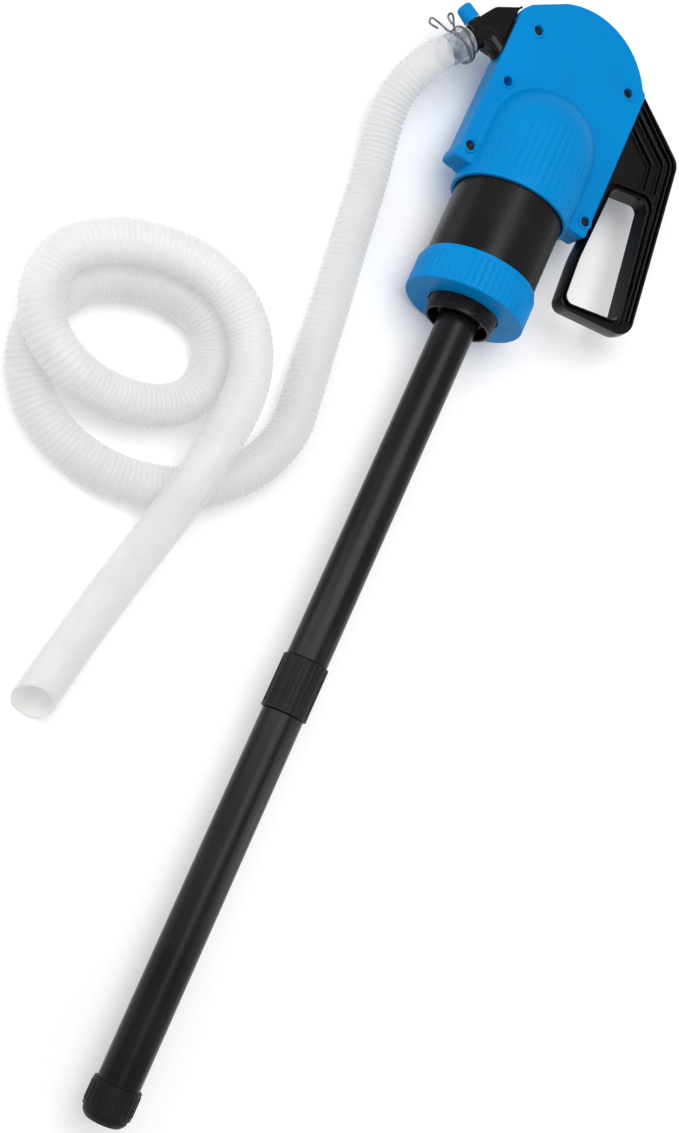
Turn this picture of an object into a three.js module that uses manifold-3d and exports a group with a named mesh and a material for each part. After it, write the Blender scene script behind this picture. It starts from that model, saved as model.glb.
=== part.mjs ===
// Lever-action drum pump with a corrugated delivery hose, lying on its back as it would on a bench.
// Millimetres. +Y runs along the pump axis towards the head, +X towards the lever, +Z up.
// Everything is drawn in the pump's own frame (origin on the axis, at the collar's lower face),
// and the whole group is then moved so that its origin is the middle of its footprint.
import * as THREE from 'three';
import { mergeVertices } from 'three/addons/utils/BufferGeometryUtils.js';
import Module from 'manifold-3d';

const wasm = await Module();
wasm.setup();

// ---------------------------------------------------------------- driving dimensions
const GAP = 0.3;                    // clearance left between touching pieces

const REST_RADIUS = 52;             // collar ribs and housing bulge, which both touch the bench
const WALL = 3;                     // moulded housing wall

const COLLAR_HEIGHT = 32.5;
const COLLAR_RIBS = 28;
const NIPPLE_RADIUS = 29.8;         // 2 inch pipe thread
const NIPPLE_END = -13.1;
const NIPPLE_BORE = 24;
const BARREL_RADIUS = 48;
const BORE_RADIUS = 45;
const BARREL_TOP = 150;

const TUBE_RADIUS = 17;
const TUBE_BORE = 14.6;
const JOINT_TOP = -318.8;           // screwed coupling between the two suction tubes
const JOINT_BOTTOM = -363.8;
const FOOT_TOP = -660.8;
const FOOT_END = -690;

const HALF = 13;                    // half the thickness of the lever housing
const INNER = HALF - WALL;          // inner face of each cover
const BOSS_TOP = HALF + 1.5;        // rings round the screws
const SKIRT = 98;                   // lower rim of the bulge round the barrel
const DOME_Y = 154;                 // centre of the domed end of the bulge
const HOUSING = { left: -65, right: 69.5, bottom: 107.5, arcX: 3.9, arcY: 221, arcR: 70.3 };
const ARC_START = 0.53;             // where the round top leaves the right edge, in radians
const ARC_END = 2.08;               // where it meets the chamfer above the spout
const CHAMFER = { x: -58, y: 262.5, endY: 254 };

const FULCRUM = { x: 52, y: 244 };  // lever pivot; also the upper right cover screw
const SWING = 48 * Math.PI / 180;   // lever travel, handle down to handle raised
const ROD_PIN_Y = FULCRUM.y + FULCRUM.x * Math.tan(SWING / 2);   // pin on the axis, handle down
const LEVER_HALF = 8.5;
const HUB_HALF = INNER - 0.5;
const WEB_HALF = 3;
const PIN_RADIUS = 3.5;
const ARM_HALF = 8;                 // half the width of the short arm that drives the rod

const SCREWS = [
  { name: 'cover_screw_upper_left', x: -44.6, y: 244 },
  { name: 'cover_screw_lower_left', x: -57.4, y: 121 },
  { name: 'cover_screw_lower_right', x: 62.5, y: 120.6 },
  { name: 'cover_screw_fulcrum', x: FULCRUM.x, y: FULCRUM.y },
];
const POCKET = { x: -50.6, y: 189 };          // blind round pocket in the front cover

const PISTON_Y = 76;                // underside of the piston, handle down
const OUTLET_DIR = new THREE.Vector2(-0.614, 0.789);   // from the dome's centre to the spout
const OUTLET_REACH = 91.2;
const NOZZLE = { x: -91.5, y: 206.5 };                 // where the hose slips over the spout
const NOZZLE_DIR = new THREE.Vector2(-0.6, -0.8);
const PIPE_RADIUS = 9;
const PIPE_BORE = 7;
const VENT = { x: -96.6, y: 224.8 };
const VENT_DIR = new THREE.Vector2(-0.91, 0.415);
const VENT_CAP = { radius: 7.2, foot: 0.6, top: 14.6 };  // foot and top along the vent's axis

const HOSE_RADIUS = 17.4;
const HOSE_BORE = 15.6;
const HOSE_LIE = -REST_RADIUS + 18;           // centre of hose lying on the bench
const HOSE_ON_HOSE = -4;                      // a turn nested on two others
const HOSE_OVER = 3;                          // a turn crossing straight over another
const CUFF_RADIUS = 13.4;
const CUFF_LENGTH = 26;
const STEP_LENGTH = 28;             // of each straight step along the hose

// ---------------------------------------------------------------- materials
const finish = (color, roughness, metalness = 0, more = {}) =>
  new THREE.MeshStandardMaterial({ color, roughness, metalness, ...more });
const BLUE = () => finish(0x058cd8, 0.42);
const BLACK = () => finish(0x1d1d1f, 0.5);
const DARK = () => finish(0x262629, 0.45);
const RUBBER = () => finish(0x17171a, 0.8);
const STEEL = () => finish(0x9aa0a6, 0.3, 0.9);
const WHITE = () => finish(0xd9dcdf, 0.5);
const CLEAR = () => finish(0xeceeee, 0.35, 0, { transparent: true, opacity: 0.85 });

// ---------------------------------------------------------------- solid-making helpers
function solid(geometry) {
  const bare = geometry.clone();
  bare.deleteAttribute('normal');
  bare.deleteAttribute('uv');
  const merged = mergeVertices(bare, 1e-4);
  const p = merged.attributes.position;
  const at = (i) => new THREE.Vector3().fromBufferAttribute(p, i);
  const tris = [];
  let volume = 0;
  for (let i = 0; i < merged.index.count; i += 3) {
    const [a, b, c] = [0, 1, 2].map((k) => merged.index.getX(i + k));
    if (a === b || b === c || a === c) continue;
    tris.push(a, b, c);
    volume += at(a).dot(at(b).cross(at(c)));
  }
  if (volume < 0) tris.reverse();
  return new wasm.Manifold(new wasm.Mesh({
    numProp: 3,
    vertProperties: new Float32Array(p.array),
    triVerts: new Uint32Array(tris),
  }));
}

// A closed outline of [radius, y] points turned about the Y axis.
function turned(profile, segments = 32) {
  const points = profile.map(([r, y]) => new THREE.Vector2(r, y));
  const onAxis = profile[0][0] === 0 && profile.at(-1)[0] === 0;
  if (!onAxis) points.push(points[0].clone());
  return solid(new THREE.LatheGeometry(points, segments));
}

// A shape in the XY plane, from height z0 to z1.
function plate(shape, z0, z1, curveSegments = 8) {
  const options = { depth: z1 - z0, bevelEnabled: false, curveSegments };
  return solid(new THREE.ExtrudeGeometry(shape, options).translate(0, 0, z0));
}

// A shape drawn across the pump axis, from y0 to y1.
function across(shape, y0, y1) {
  const options = { depth: y1 - y0, bevelEnabled: false, curveSegments: 20 };
  return solid(new THREE.ExtrudeGeometry(shape, options).rotateX(-Math.PI / 2).translate(0, y0, 0));
}

function block(x0, x1, y0, y1, z0, z1) {
  const geometry = new THREE.BoxGeometry(x1 - x0, y1 - y0, z1 - z0);
  return solid(geometry.translate((x0 + x1) / 2, (y0 + y1) / 2, (z0 + z1) / 2));
}

// An upright pin or hole through the housing, along Z.
function peg(x, y, radius, z0, z1, segments = 16) {
  const geometry = new THREE.CylinderGeometry(radius, radius, z1 - z0, segments);
  return solid(geometry.rotateX(Math.PI / 2).translate(x, y, (z0 + z1) / 2));
}

// A round bar in the plane z = 0, starting at point, from distance s0 to s1 along direction.
function bar(point, direction, s0, s1, radius, segments = 12) {
  const geometry = new THREE.CylinderGeometry(radius, radius, s1 - s0, segments);
  geometry.translate(0, (s0 + s1) / 2, 0);
  geometry.rotateZ(Math.atan2(direction.y, direction.x) - Math.PI / 2);
  return solid(geometry.translate(point.x, point.y, 0));
}

// A polygon of [x, y, corner radius] points.
function rounded(corners, Kind = THREE.Shape) {
  const outline = new Kind();
  corners.forEach(([x, y, r = 0], i) => {
    const corner = new THREE.Vector2(x, y);
    const towards = ([tx, ty]) => {
      const way = new THREE.Vector2(tx - x, ty - y);
      return corner.clone().addScaledVector(way.normalize(), r);
    };
    const start = towards(corners.at(i - 1));
    const end = towards(corners[(i + 1) % corners.length]);
    if (i === 0) outline.moveTo(start.x, start.y);
    else outline.lineTo(start.x, start.y);
    if (r > 0) outline.quadraticCurveTo(x, y, end.x, end.y);
  });
  outline.closePath();
  return outline;
}

// A circle carrying evenly spaced grip ribs.
function ribbed(root, crest, count) {
  const shape = new THREE.Shape();
  const pitch = 2 * Math.PI / count;
  const corners = [[0, root], [0.45, root], [0.55, crest], [0.9, crest]];
  for (let i = 0; i < count; i += 1) {
    for (const [share, r] of corners) {
      const a = (i + share) * pitch;
      shape[i + share === 0 ? 'moveTo' : 'lineTo'](r * Math.cos(a), r * Math.sin(a));
    }
  }
  shape.closePath();
  return shape;
}

// Points of an arc in an [r, y] profile.
function arc(cx, cy, radius, from, to, steps) {
  return Array.from({ length: steps + 1 }, (_, i) => {
    const a = from + (to - from) * i / steps;
    return [cx + radius * Math.cos(a), cy + radius * Math.sin(a)];
  });
}

const pump = new THREE.Group();

function piece(name, body, material) {
  const { vertProperties, triVerts } = body.getMesh();
  const geometry = new THREE.BufferGeometry();
  geometry.setAttribute('position', new THREE.BufferAttribute(vertProperties, 3));
  geometry.setIndex(new THREE.BufferAttribute(triVerts, 1));
  geometry.computeVertexNormals();
  const mesh = new THREE.Mesh(geometry, material);
  mesh.name = name;
  pump.add(mesh);
}

// ---------------------------------------------------------------- collar, bung thread and inlet
function makeCollar() {
  const bodyTop = COLLAR_HEIGHT - 5;
  const grip = across(ribbed(REST_RADIUS - 1.2, REST_RADIUS, COLLAR_RIBS), 1.5, bodyTop);
  const rings = turned([
    [30, 0], [REST_RADIUS - 2.7, 0], [REST_RADIUS - 1.2, 1.5], [REST_RADIUS - 1.2, bodyTop],
    [REST_RADIUS - 2.4, COLLAR_HEIGHT], [30, COLLAR_HEIGHT],
  ], 40);
  const bore = turned([[0, -1], [31, -1], [31, 5], [BARREL_RADIUS + 0.5, 5],
    [BARREL_RADIUS + 0.5, COLLAR_HEIGHT + 1], [0, COLLAR_HEIGHT + 1]], 40);
  piece('collar', grip.add(rings).subtract(bore), BLUE());
}

function makeBungNipple() {
  const threads = [];
  for (let y = NIPPLE_END + 2.2; y < 1; y += 4.2) {
    threads.push([NIPPLE_RADIUS, y], [NIPPLE_RADIUS - 1.2, y + 1], [NIPPLE_RADIUS, y + 2]);
  }
  piece('bung_nipple', turned([
    [NIPPLE_BORE, NIPPLE_END], [NIPPLE_RADIUS - 1.4, NIPPLE_END], [NIPPLE_RADIUS, NIPPLE_END + 1.4],
    ...threads, [NIPPLE_RADIUS, 5 + GAP], [46, 5 + GAP], [46, 9.3], [NIPPLE_BORE, 9.3],
  ]), BLACK());
  piece('base_gasket', turned([[38, 9.6], [46, 9.6], [46, 11.6], [38, 11.6]]), RUBBER());
}

function makeInlet() {
  const socket = turned([
    [TUBE_RADIUS + GAP, -6], [21, -6], [21, 11.9], [47.6, 11.9], [47.6, 16],
    [10, 16], [10, 8.2], [TUBE_RADIUS + GAP, 8.2],
  ]);
  let cage = turned([[8, 22.5], [18.5, 22.5], [18.5, 24.5], [8, 24.5]], 16);
  for (let i = 0; i < 4; i += 1) {
    const angle = (i + 0.5) * Math.PI / 2;
    const post = new THREE.CylinderGeometry(1.4, 1.4, 8, 6);
    cage = cage.add(solid(post.translate(17 * Math.cos(angle), 19.5, 17 * Math.sin(angle))));
  }
  piece('inlet_plate', socket.add(cage), DARK());
  const flap = [[0, 16 + GAP], [14, 16 + GAP], [14, 18.3], [4, 19.3], [0, 19.3]];
  piece('inlet_valve', turned(flap, 20), RUBBER());
}

// ---------------------------------------------------------------- suction tubes and foot
function makeSuctionTubes() {
  const spigot = 15.3;
  const meet = (JOINT_TOP + JOINT_BOTTOM) / 2;
  piece('suction_tube_upper', turned([
    [TUBE_BORE - 1.6, meet + 2], [spigot, meet + 2], [spigot, JOINT_TOP + GAP],
    [TUBE_RADIUS, JOINT_TOP + GAP], [TUBE_RADIUS, 7.9], [TUBE_BORE, 7.9],
    [TUBE_BORE, JOINT_TOP + 6], [TUBE_BORE - 1.6, JOINT_TOP + 2],
  ], 24), BLACK());
  piece('suction_tube_lower', turned([
    [TUBE_BORE, FOOT_TOP - 8.2], [TUBE_RADIUS, FOOT_TOP - 8.2], [TUBE_RADIUS, JOINT_BOTTOM - GAP],
    [spigot, JOINT_BOTTOM - GAP], [spigot, meet - 2], [TUBE_BORE - 1.6, meet - 2],
    [TUBE_BORE - 1.6, JOINT_BOTTOM - 2], [TUBE_BORE, JOINT_BOTTOM - 6],
  ], 24), BLACK());
  const sleeve = across(ribbed(18.2, 18.9, 14), JOINT_BOTTOM, JOINT_TOP);
  const hole = turned([[0, JOINT_BOTTOM - 1], [spigot + GAP, JOINT_BOTTOM - 1],
    [spigot + GAP, JOINT_TOP + 1], [0, JOINT_TOP + 1]], 24);
  piece('tube_coupling', sleeve.subtract(hole), DARK());
}

function makeFoot() {
  const seat = FOOT_END + 11;
  let foot = turned([
    [0, FOOT_END], [13, FOOT_END], [17.4, FOOT_END + 2.2], [19.2, FOOT_END + 6], [19.2, FOOT_TOP],
    [TUBE_RADIUS + GAP, FOOT_TOP], [TUBE_RADIUS + GAP, FOOT_TOP - 8.5], [14.6, FOOT_TOP - 8.5],
    [14.6, seat], [8, seat], [8, seat - 3], [14.6, seat - 3], [14.6, FOOT_END + 4], [0, FOOT_END + 4],
  ], 24);
  for (let i = -1; i <= 1; i += 1) {
    foot = foot.subtract(block(i * 7 - 1.5, i * 7 + 1.5, FOOT_END - 1, FOOT_END + 5, -11, 11));
  }
  piece('foot_strainer', foot, DARK());
  const disc = [[0, seat + GAP], [12.5, seat + GAP], [12.5, seat + 2.3], [0, seat + 2.3]];
  piece('foot_valve', turned(disc, 24), RUBBER());
}

// ---------------------------------------------------------------- barrel, piston and head
function makeBarrel() {
  piece('barrel', turned([[BORE_RADIUS, 16.3], [BARREL_RADIUS, 16.3], [BARREL_RADIUS, BARREL_TOP],
    [BORE_RADIUS, BARREL_TOP]], 40), BLACK());
}

function makePiston() {
  const top = PISTON_Y + 16;
  const rodEnd = PISTON_Y + 6;
  let piston = turned([
    [0, PISTON_Y], [44.2, PISTON_Y], [44.2, PISTON_Y + 5], [40, PISTON_Y + 5], [40, PISTON_Y + 11],
    [44.2, PISTON_Y + 11], [44.2, top], [5.3, top], [5.3, rodEnd], [0, rodEnd],
  ], 28);
  for (let i = 0; i < 6; i += 1) {
    const port = new THREE.CylinderGeometry(4.5, 4.5, 30, 8);
    port.translate(22, PISTON_Y + 8, 0).rotateY(i * Math.PI / 3);
    piston = piston.subtract(solid(port));
  }
  piece('piston', piston, WHITE());
  piece('piston_seal', turned([[40.3, PISTON_Y + 5.3], [44.7, PISTON_Y + 5.3], [44.7, PISTON_Y + 10.7],
    [40.3, PISTON_Y + 10.7]], 28), RUBBER());
  const disc = [[12, top + GAP], [30, top + GAP], [30, top + 2], [12, top + 2]];
  piece('piston_valve', turned(disc, 24), RUBBER());
}

function makeRod() {
  const foot = PISTON_Y + 6.3;
  const eye = ROD_PIN_Y;
  const stem = turned([[0, foot], [5, foot], [5, eye - 14], [0, eye - 14]], 16);
  const clevis = block(-7, 7, eye - 15.2, eye + 8, -8, 8);
  const fork = block(-9, 9, eye - 12.2, eye + 9, -WEB_HALF - 0.5, WEB_HALF + 0.5);
  const hole = peg(0, eye, PIN_RADIUS + GAP, -9, 9);
  piece('piston_rod', stem.add(clevis).subtract(fork).subtract(hole), STEEL());
  piece('rod_pin', peg(0, eye, PIN_RADIUS, -7.8, 7.8), STEEL());
}

function makeHead() {
  const boss = 9.6;
  const dome = (radius, r) => Math.acos(r / radius);
  let head = turned([
    [BORE_RADIUS, BARREL_TOP + GAP], [BARREL_RADIUS, BARREL_TOP + GAP],
    ...arc(0, DOME_Y, BARREL_RADIUS, 0, dome(BARREL_RADIUS, boss), 5),
    [boss, 204.8], [7.9, 204.8], [7.9, 200.6], [5.4, 200.6],
    ...arc(0, DOME_Y, BORE_RADIUS, dome(BORE_RADIUS, 5.4), 0, 5),
  ], 24);
  const centre = { x: 0, y: DOME_Y };
  head = head.add(bar(centre, OUTLET_DIR, 46, 56, 9.5));
  head = head.subtract(bar(centre, OUTLET_DIR, 40, 58, 7));
  piece('cylinder_head', head, DARK());
  piece('rod_seal', turned([[5.3, 200.9], [7.6, 200.9], [7.6, 204.5], [5.3, 204.5]], 16), RUBBER());
  const duct = bar(centre, OUTLET_DIR, 56 + GAP, OUTLET_REACH - GAP, 9.5);
  piece('outlet_duct', duct.subtract(bar(centre, OUTLET_DIR, 55, OUTLET_REACH + 1, 7)), DARK());
}

// ---------------------------------------------------------------- housing covers
function housingOutline(inset, openRight) {
  const { left, right, bottom, arcX, arcY, arcR } = HOUSING;
  const shape = new THREE.Shape();
  const r = arcR - inset;
  const wallEnd = 44;
  shape.moveTo(left + inset, bottom + inset);
  if (openRight) {
    shape.lineTo(right + 20, bottom + inset);
    shape.lineTo(right + 20, arcY + arcR + 10);
    shape.lineTo(wallEnd, arcY + arcR + 10);
    shape.absarc(arcX, arcY, r, Math.acos((wallEnd - arcX) / r), ARC_END, false);
  } else {
    shape.lineTo(right, bottom);
    shape.lineTo(right, 252);
    shape.quadraticCurveTo(right, 257, 64.5, 258);
    shape.absarc(arcX, arcY, r, ARC_START, ARC_END, false);
  }
  shape.lineTo(CHAMFER.x + inset * 0.6, CHAMFER.y - inset * 0.7);
  shape.lineTo(left + inset + 0.6, CHAMFER.endY - inset * 0.4);
  shape.closePath();
  return shape;
}

function bulge(radius, from) {
  const steps = 6;
  return turned([[0, from], [radius, from], ...arc(0, DOME_Y, radius, 0, Math.PI / 2, steps).slice(0, -1),
    [0, DOME_Y + radius]], 32);
}

// side = 1 makes the front cover, -1 its mirror image behind; both stop short of the split line.
function makeCover(side) {
  const split = GAP / 2;
  const span = (a, b) => (side > 0 ? [a, b] : [-b, -a]);
  const half = block(-90, 90, 60, 320, ...span(split, 80));
  let cover = plate(housingOutline(0, false), ...span(split, HALF), 10);
  cover = cover.add(bulge(REST_RADIUS, SKIRT).intersect(half));
  cover = cover.subtract(plate(housingOutline(WALL, true), ...span(-1, INNER), 10));
  cover = cover.subtract(bulge(REST_RADIUS - WALL, SKIRT - 1));
  for (const { x, y } of SCREWS) {
    const atFulcrum = x === FULCRUM.x;
    cover = cover.add(peg(x, y, 6.2, ...span(INNER, BOSS_TOP)));
    if (!atFulcrum) cover = cover.add(peg(x, y, 5, ...span(split, INNER + 1)));
    if (side > 0) {
      cover = cover.subtract(peg(x, y, 4.2, ...span(HALF - 2.5, BOSS_TOP + 1)));
      cover = cover.subtract(peg(x, y, 2.3, ...span(-1, BOSS_TOP + 1), 8));
    } else {
      cover = cover.subtract(peg(x, y, 2.2, ...span(-1, HALF - 1), 8));
    }
  }
  if (side > 0) {
    cover = cover.add(peg(POCKET.x, POCKET.y, 6, 5, INNER + 1));
    cover = cover.subtract(peg(POCKET.x, POCKET.y, 3.6, 7, HALF + 1));
  }
  cover = cover.subtract(block(-70, -58, 212.5, 242.5, ...span(-1, 9.3)));
  piece(side > 0 ? 'front_cover' : 'rear_cover', cover, BLUE());
}

function makeScrews() {
  for (const { name, x, y } of SCREWS) {
    const shank = peg(x, y, 1.9, -8.5, HALF - 2.1, 8);
    const head = peg(x, y, 3.7, HALF - 2.2, HALF - 0.4, 12);
    const hex = peg(x, y, 1.9, HALF - 1.5, HALF, 6);
    piece(name, shank.add(head).subtract(hex), STEEL());
  }
  const sleeve = peg(FULCRUM.x, FULCRUM.y, 5.6, -INNER + GAP, INNER - GAP);
  piece('fulcrum_bush', sleeve.subtract(peg(FULCRUM.x, FULCRUM.y, 2.3, -INNER - 1, INNER + 1, 8)), STEEL());
}

// ---------------------------------------------------------------- lever
// Outer edge of the lever from the hub, round the elbow and down the grip.
const LEVER_EDGE = [[62, 265], [104, 232], [124, 219], [144.6, 62]];

// The strip between two distances inside the lever's outer edge, from its start to end share.
function band(near, far, from, to) {
  const line = (d) => LEVER_EDGE.map(([x, y], i) => {
    const here = new THREE.Vector2(x, y);
    const before = LEVER_EDGE[Math.max(i - 1, 0)];
    const after = LEVER_EDGE[Math.min(i + 1, LEVER_EDGE.length - 1)];
    const inward = (a, b) => new THREE.Vector2(b[1] - a[1], a[0] - b[0]).normalize();
    const first = i > 0 ? inward(before, [x, y]) : inward([x, y], after);
    const second = i < LEVER_EDGE.length - 1 ? inward([x, y], after) : first;
    const mitre = first.clone().add(second).normalize();
    return here.addScaledVector(mitre, d / mitre.dot(first));
  });
  const trim = (points) => {
    const kept = points.map((p) => p.clone());
    kept[0].lerp(points[1], from);
    kept[kept.length - 1].lerp(points.at(-2), 1 - to);
    return kept;
  };
  return new THREE.Shape([...trim(line(near)), ...trim(line(far)).reverse()]);
}

function makeLever() {
  const { x, y } = FULCRUM;
  const outline = rounded([
    [54, 205, 16], [70.8, 160, 10], [70.4, 112, 6], [69.3, 92, 6], [72.4, 44.6, 10], [145.5, 53.5, 15],
    [124, 219, 7], [104, 232, 12], [62, 265, 6], [43, 266, 10], [38, 240, 8],
  ]);
  outline.holes.push(rounded([
    [77, 164.8, 5], [112.4, 172.6, 9], [129, 62.4, 5], [76.6, 52.3, 8], [74.2, 93, 4],
  ], THREE.Path));
  let lever = plate(outline, -LEVER_HALF, LEVER_HALF, 5);
  const grooves = [[1.8, 4.8, 0.06, 0.97], [6.2, 10.3, 0.08, 0.96]];
  const arm = [[12.6, 20, 0.12, 0.22], [22, 31, 0.2, 0.12]];
  for (const [near, far, from, to] of [...grooves, ...arm]) {
    for (const [z0, z1] of [[WEB_HALF, LEVER_HALF + 1], [-LEVER_HALF - 1, -WEB_HALF]]) {
      lever = lever.subtract(plate(band(near, far, from, to), z0, z1));
    }
  }
  const reach = x / Math.cos(SWING / 2);
  const beam = new THREE.Shape();
  beam.absarc(reach + 1, 0, ARM_HALF, -Math.PI / 2, Math.PI / 2, false);
  beam.lineTo(0, ARM_HALF);
  beam.lineTo(0, -ARM_HALF);
  const slot = new THREE.Path();
  slot.absarc(reach + 1, 0, PIN_RADIUS + 1, -Math.PI / 2, Math.PI / 2, false);
  slot.absarc(x - 1, 0, PIN_RADIUS + 1, Math.PI / 2, 3 * Math.PI / 2, false);
  beam.holes.push(slot);
  const options = { depth: 2 * WEB_HALF, bevelEnabled: false, curveSegments: 5 };
  const inArm = new THREE.ExtrudeGeometry(beam, options);
  inArm.translate(0, 0, -WEB_HALF).rotateZ(Math.PI - SWING / 2).translate(x, y, 0);
  lever = lever.add(solid(inArm));
  lever = lever.add(peg(x, y, 13, -HUB_HALF, HUB_HALF, 20));
  lever = lever.subtract(peg(x, y, 6, -INNER, INNER, 16));
  piece('lever', lever, BLACK());
}

// ---------------------------------------------------------------- spout and vent cap
function makeSpout() {
  const body = rounded([
    [-65.5, 208.5], [-65.5, 255], [-61.8, 260.6, 1], [-84.6, 245.5, 3], [-93, 229, 2],
    [-100.5, 213.5, 2], [-84.5, 208.2, 2],
  ]);
  const elbow = new THREE.Vector2(NOZZLE.x, NOZZLE.y).addScaledVector(NOZZLE_DIR, -16);
  const inlet = new THREE.Vector2(0, DOME_Y).addScaledVector(OUTLET_DIR, OUTLET_REACH);
  const inletDir = inlet.clone().sub(elbow).normalize();
  const run = inlet.distanceTo(elbow);
  let spout = plate(body, -8, 8, 4);
  spout = spout.add(block(-66, -54.5, 213, 242, -PIPE_RADIUS, PIPE_RADIUS));
  spout = spout.add(bar(elbow, inletDir, 0, 14, PIPE_RADIUS));
  spout = spout.add(solid(new THREE.SphereGeometry(PIPE_RADIUS, 16, 8).translate(elbow.x, elbow.y, 0)));
  spout = spout.add(bar(elbow, NOZZLE_DIR, 0, 38, PIPE_RADIUS));
  spout = spout.add(bar(NOZZLE, NOZZLE_DIR, -1.6, 0, 11));
  for (const s of [6, 12, 18]) spout = spout.add(bar(NOZZLE, NOZZLE_DIR, s, s + 2.2, 10.6));
  spout = spout.add(bar(VENT, VENT_DIR, -8, 9, 4.2, 12));
  spout = spout.subtract(bar(elbow, NOZZLE_DIR, 0, 45, PIPE_BORE));
  spout = spout.subtract(bar(elbow, inletDir, 0, run + 8, PIPE_BORE));
  spout = spout.subtract(bar({ x: 0, y: DOME_Y }, OUTLET_DIR, 50, OUTLET_REACH, 9.5 + GAP));
  piece('spout', spout, BLACK());
  const cap = bar(VENT, VENT_DIR, VENT_CAP.foot, VENT_CAP.top, VENT_CAP.radius, 16);
  piece('vent_cap', cap.subtract(bar(VENT, VENT_DIR, 0, 9.5, 4.7, 12)), BLUE());
}

// ---------------------------------------------------------------- hose and its clamp
// Middle line of the hose from the spout, down to the bench and through its two turns.
const HOSE_ROUTE = [
  [-91.6, 206.4, 0], [-99, 196.5, 0], [-107, 185.8, 0], [-114.5, 173, -3], [-121, 157, -9],
  [-124, 138, -17], [-121, 116, -25], [-115, 92, -31], [-109, 61, HOSE_LIE], [-105, 28, HOSE_LIE],
  [-100, -8, HOSE_LIE], [-95, -44, HOSE_LIE], [-90, -82, HOSE_LIE], [-85, -118, HOSE_LIE],
  [-82, -150, HOSE_LIE], [-90, -182, HOSE_LIE], [-110, -212, HOSE_LIE], [-139, -235, HOSE_LIE],
  [-173, -248, HOSE_LIE], [-208, -252, HOSE_LIE], [-242, -246, HOSE_LIE], [-270, -231, HOSE_LIE],
  [-289, -207, HOSE_LIE], [-296, -180, HOSE_LIE], [-293, -153, HOSE_LIE], [-280, -130, HOSE_LIE],
  [-257, -113, HOSE_LIE], [-230, -103, HOSE_LIE], [-201, -102, HOSE_LIE], [-177, -112, HOSE_LIE],
  [-164, -131, HOSE_LIE], [-162, -156, -32], [-173, -178, -28], [-197, -194, -22], [-232, -203, -12],
  [-268, -200, HOSE_OVER - 2], [-296, -182, HOSE_OVER], [-308, -155, 0], [-305, -127, HOSE_ON_HOSE],
  [-289, -107, HOSE_ON_HOSE], [-266, -92, HOSE_ON_HOSE], [-239, -83, HOSE_ON_HOSE],
  [-208, -80, HOSE_ON_HOSE], [-177, -88, HOSE_ON_HOSE], [-153, -107, HOSE_ON_HOSE],
  [-140, -133, -1], [-136, -162, 2], [-138, -196, HOSE_OVER], [-142, -232, HOSE_OVER],
  [-147, -268, -6], [-153, -306, -20], [-160, -348, -30], [-167, -391, HOSE_LIE], [-174, -434, HOSE_LIE],
];

function makeHose() {
  const points = HOSE_ROUTE.map((p) => new THREE.Vector3(...p));
  const route = new THREE.CatmullRomCurve3(points, false, 'centripetal');
  route.arcLengthDivisions = 800;
  const length = route.getLength();
  const ring = (outer, inner, sides) => {
    const shape = new THREE.Shape();
    shape.absarc(0, 0, outer, 0, 2 * Math.PI, false);
    const bore = new THREE.Path();
    bore.absarc(0, 0, inner, 0, 2 * Math.PI, false);
    shape.holes.push(bore);
    return [shape, sides / 2];
  };
  class Stretch extends THREE.Curve {
    constructor(from, to) {
      super();
      this.from = from;
      this.to = to;
    }

    getPoint(t, target = new THREE.Vector3()) {
      return route.getPointAt((this.from + (this.to - this.from) * t) / length, target);
    }
  }
  const stretch = (name, from, to, steps, [shape, curveSegments]) => {
    const options = { steps, curveSegments, extrudePath: new Stretch(from, to), bevelEnabled: false };
    piece(name, solid(new THREE.ExtrudeGeometry(shape, options)), CLEAR());
  };
  const end = length - 1e-3;
  const cuts = [CUFF_LENGTH, 420, 720, 1030, 1330, end];
  const names = ['hose_lead', 'hose_outer_turn', 'hose_inner_turn', 'hose_upper_turn', 'hose_tail'];
  stretch('hose_cuff', 1.2, CUFF_LENGTH - GAP, 2, ring(CUFF_RADIUS, 11.2, 10));
  names.forEach((name, i) => {
    const steps = Math.round((cuts[i + 1] - cuts[i]) / STEP_LENGTH);
    const last = i === names.length - 1;
    stretch(name, cuts[i], cuts[i + 1] - (last ? 0 : GAP), steps, ring(HOSE_RADIUS, HOSE_BORE, 8));
  });
}

// Double-wire spring clamp: two coils round the cuff, each end reaching out to a small finger loop.
function makeClamp() {
  const coil = CUFF_RADIUS + 1.6;
  const wire = 1;
  const axis = new THREE.Vector3(NOZZLE_DIR.x, NOZZLE_DIR.y, 0);
  const side = new THREE.Vector3(NOZZLE_DIR.y, -NOZZLE_DIR.x, 0);
  const middle = new THREE.Vector3(NOZZLE.x, NOZZLE.y, 0).addScaledVector(axis, 6.5);
  const at = ([along, out, up]) => new THREE.Vector3(0, 0, up).add(middle)
    .addScaledVector(axis, along).addScaledVector(side, out);
  const firstLoop = [
    [13.2, 19.9, 2], [18.7, 27.6, 2.5], [14.3, 29.4, 3], [11.3, 25.9, 4], [5.5, 18.5, 6.5],
  ];
  const secondLoop = [
    [-4.2, 18.5, -3], [-5, 24.4, 0], [-3.9, 27.4, 1], [0.4, 25.8, 1.5], [0.3, 18.4, 2],
  ];
  const from = 25 * Math.PI / 180;
  const sweep = 670 * Math.PI / 180;
  const coils = Array.from({ length: 27 }, (_, i) => {
    const a = from + sweep * i / 26;
    return [2.2 - 4.4 * i / 26, coil * Math.cos(a), coil * Math.sin(a)];
  });
  const section = new THREE.Shape();
  section.absarc(0, 0, wire, 0, 2 * Math.PI, false);
  const line = [...firstLoop, ...coils, ...secondLoop].map(at);
  const curve = new THREE.CatmullRomCurve3(line, false, 'centripetal');
  const options = { steps: 60, curveSegments: 3, extrudePath: curve, bevelEnabled: false };
  piece('hose_clamp', solid(new THREE.ExtrudeGeometry(section, options)), STEEL());
}

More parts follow.
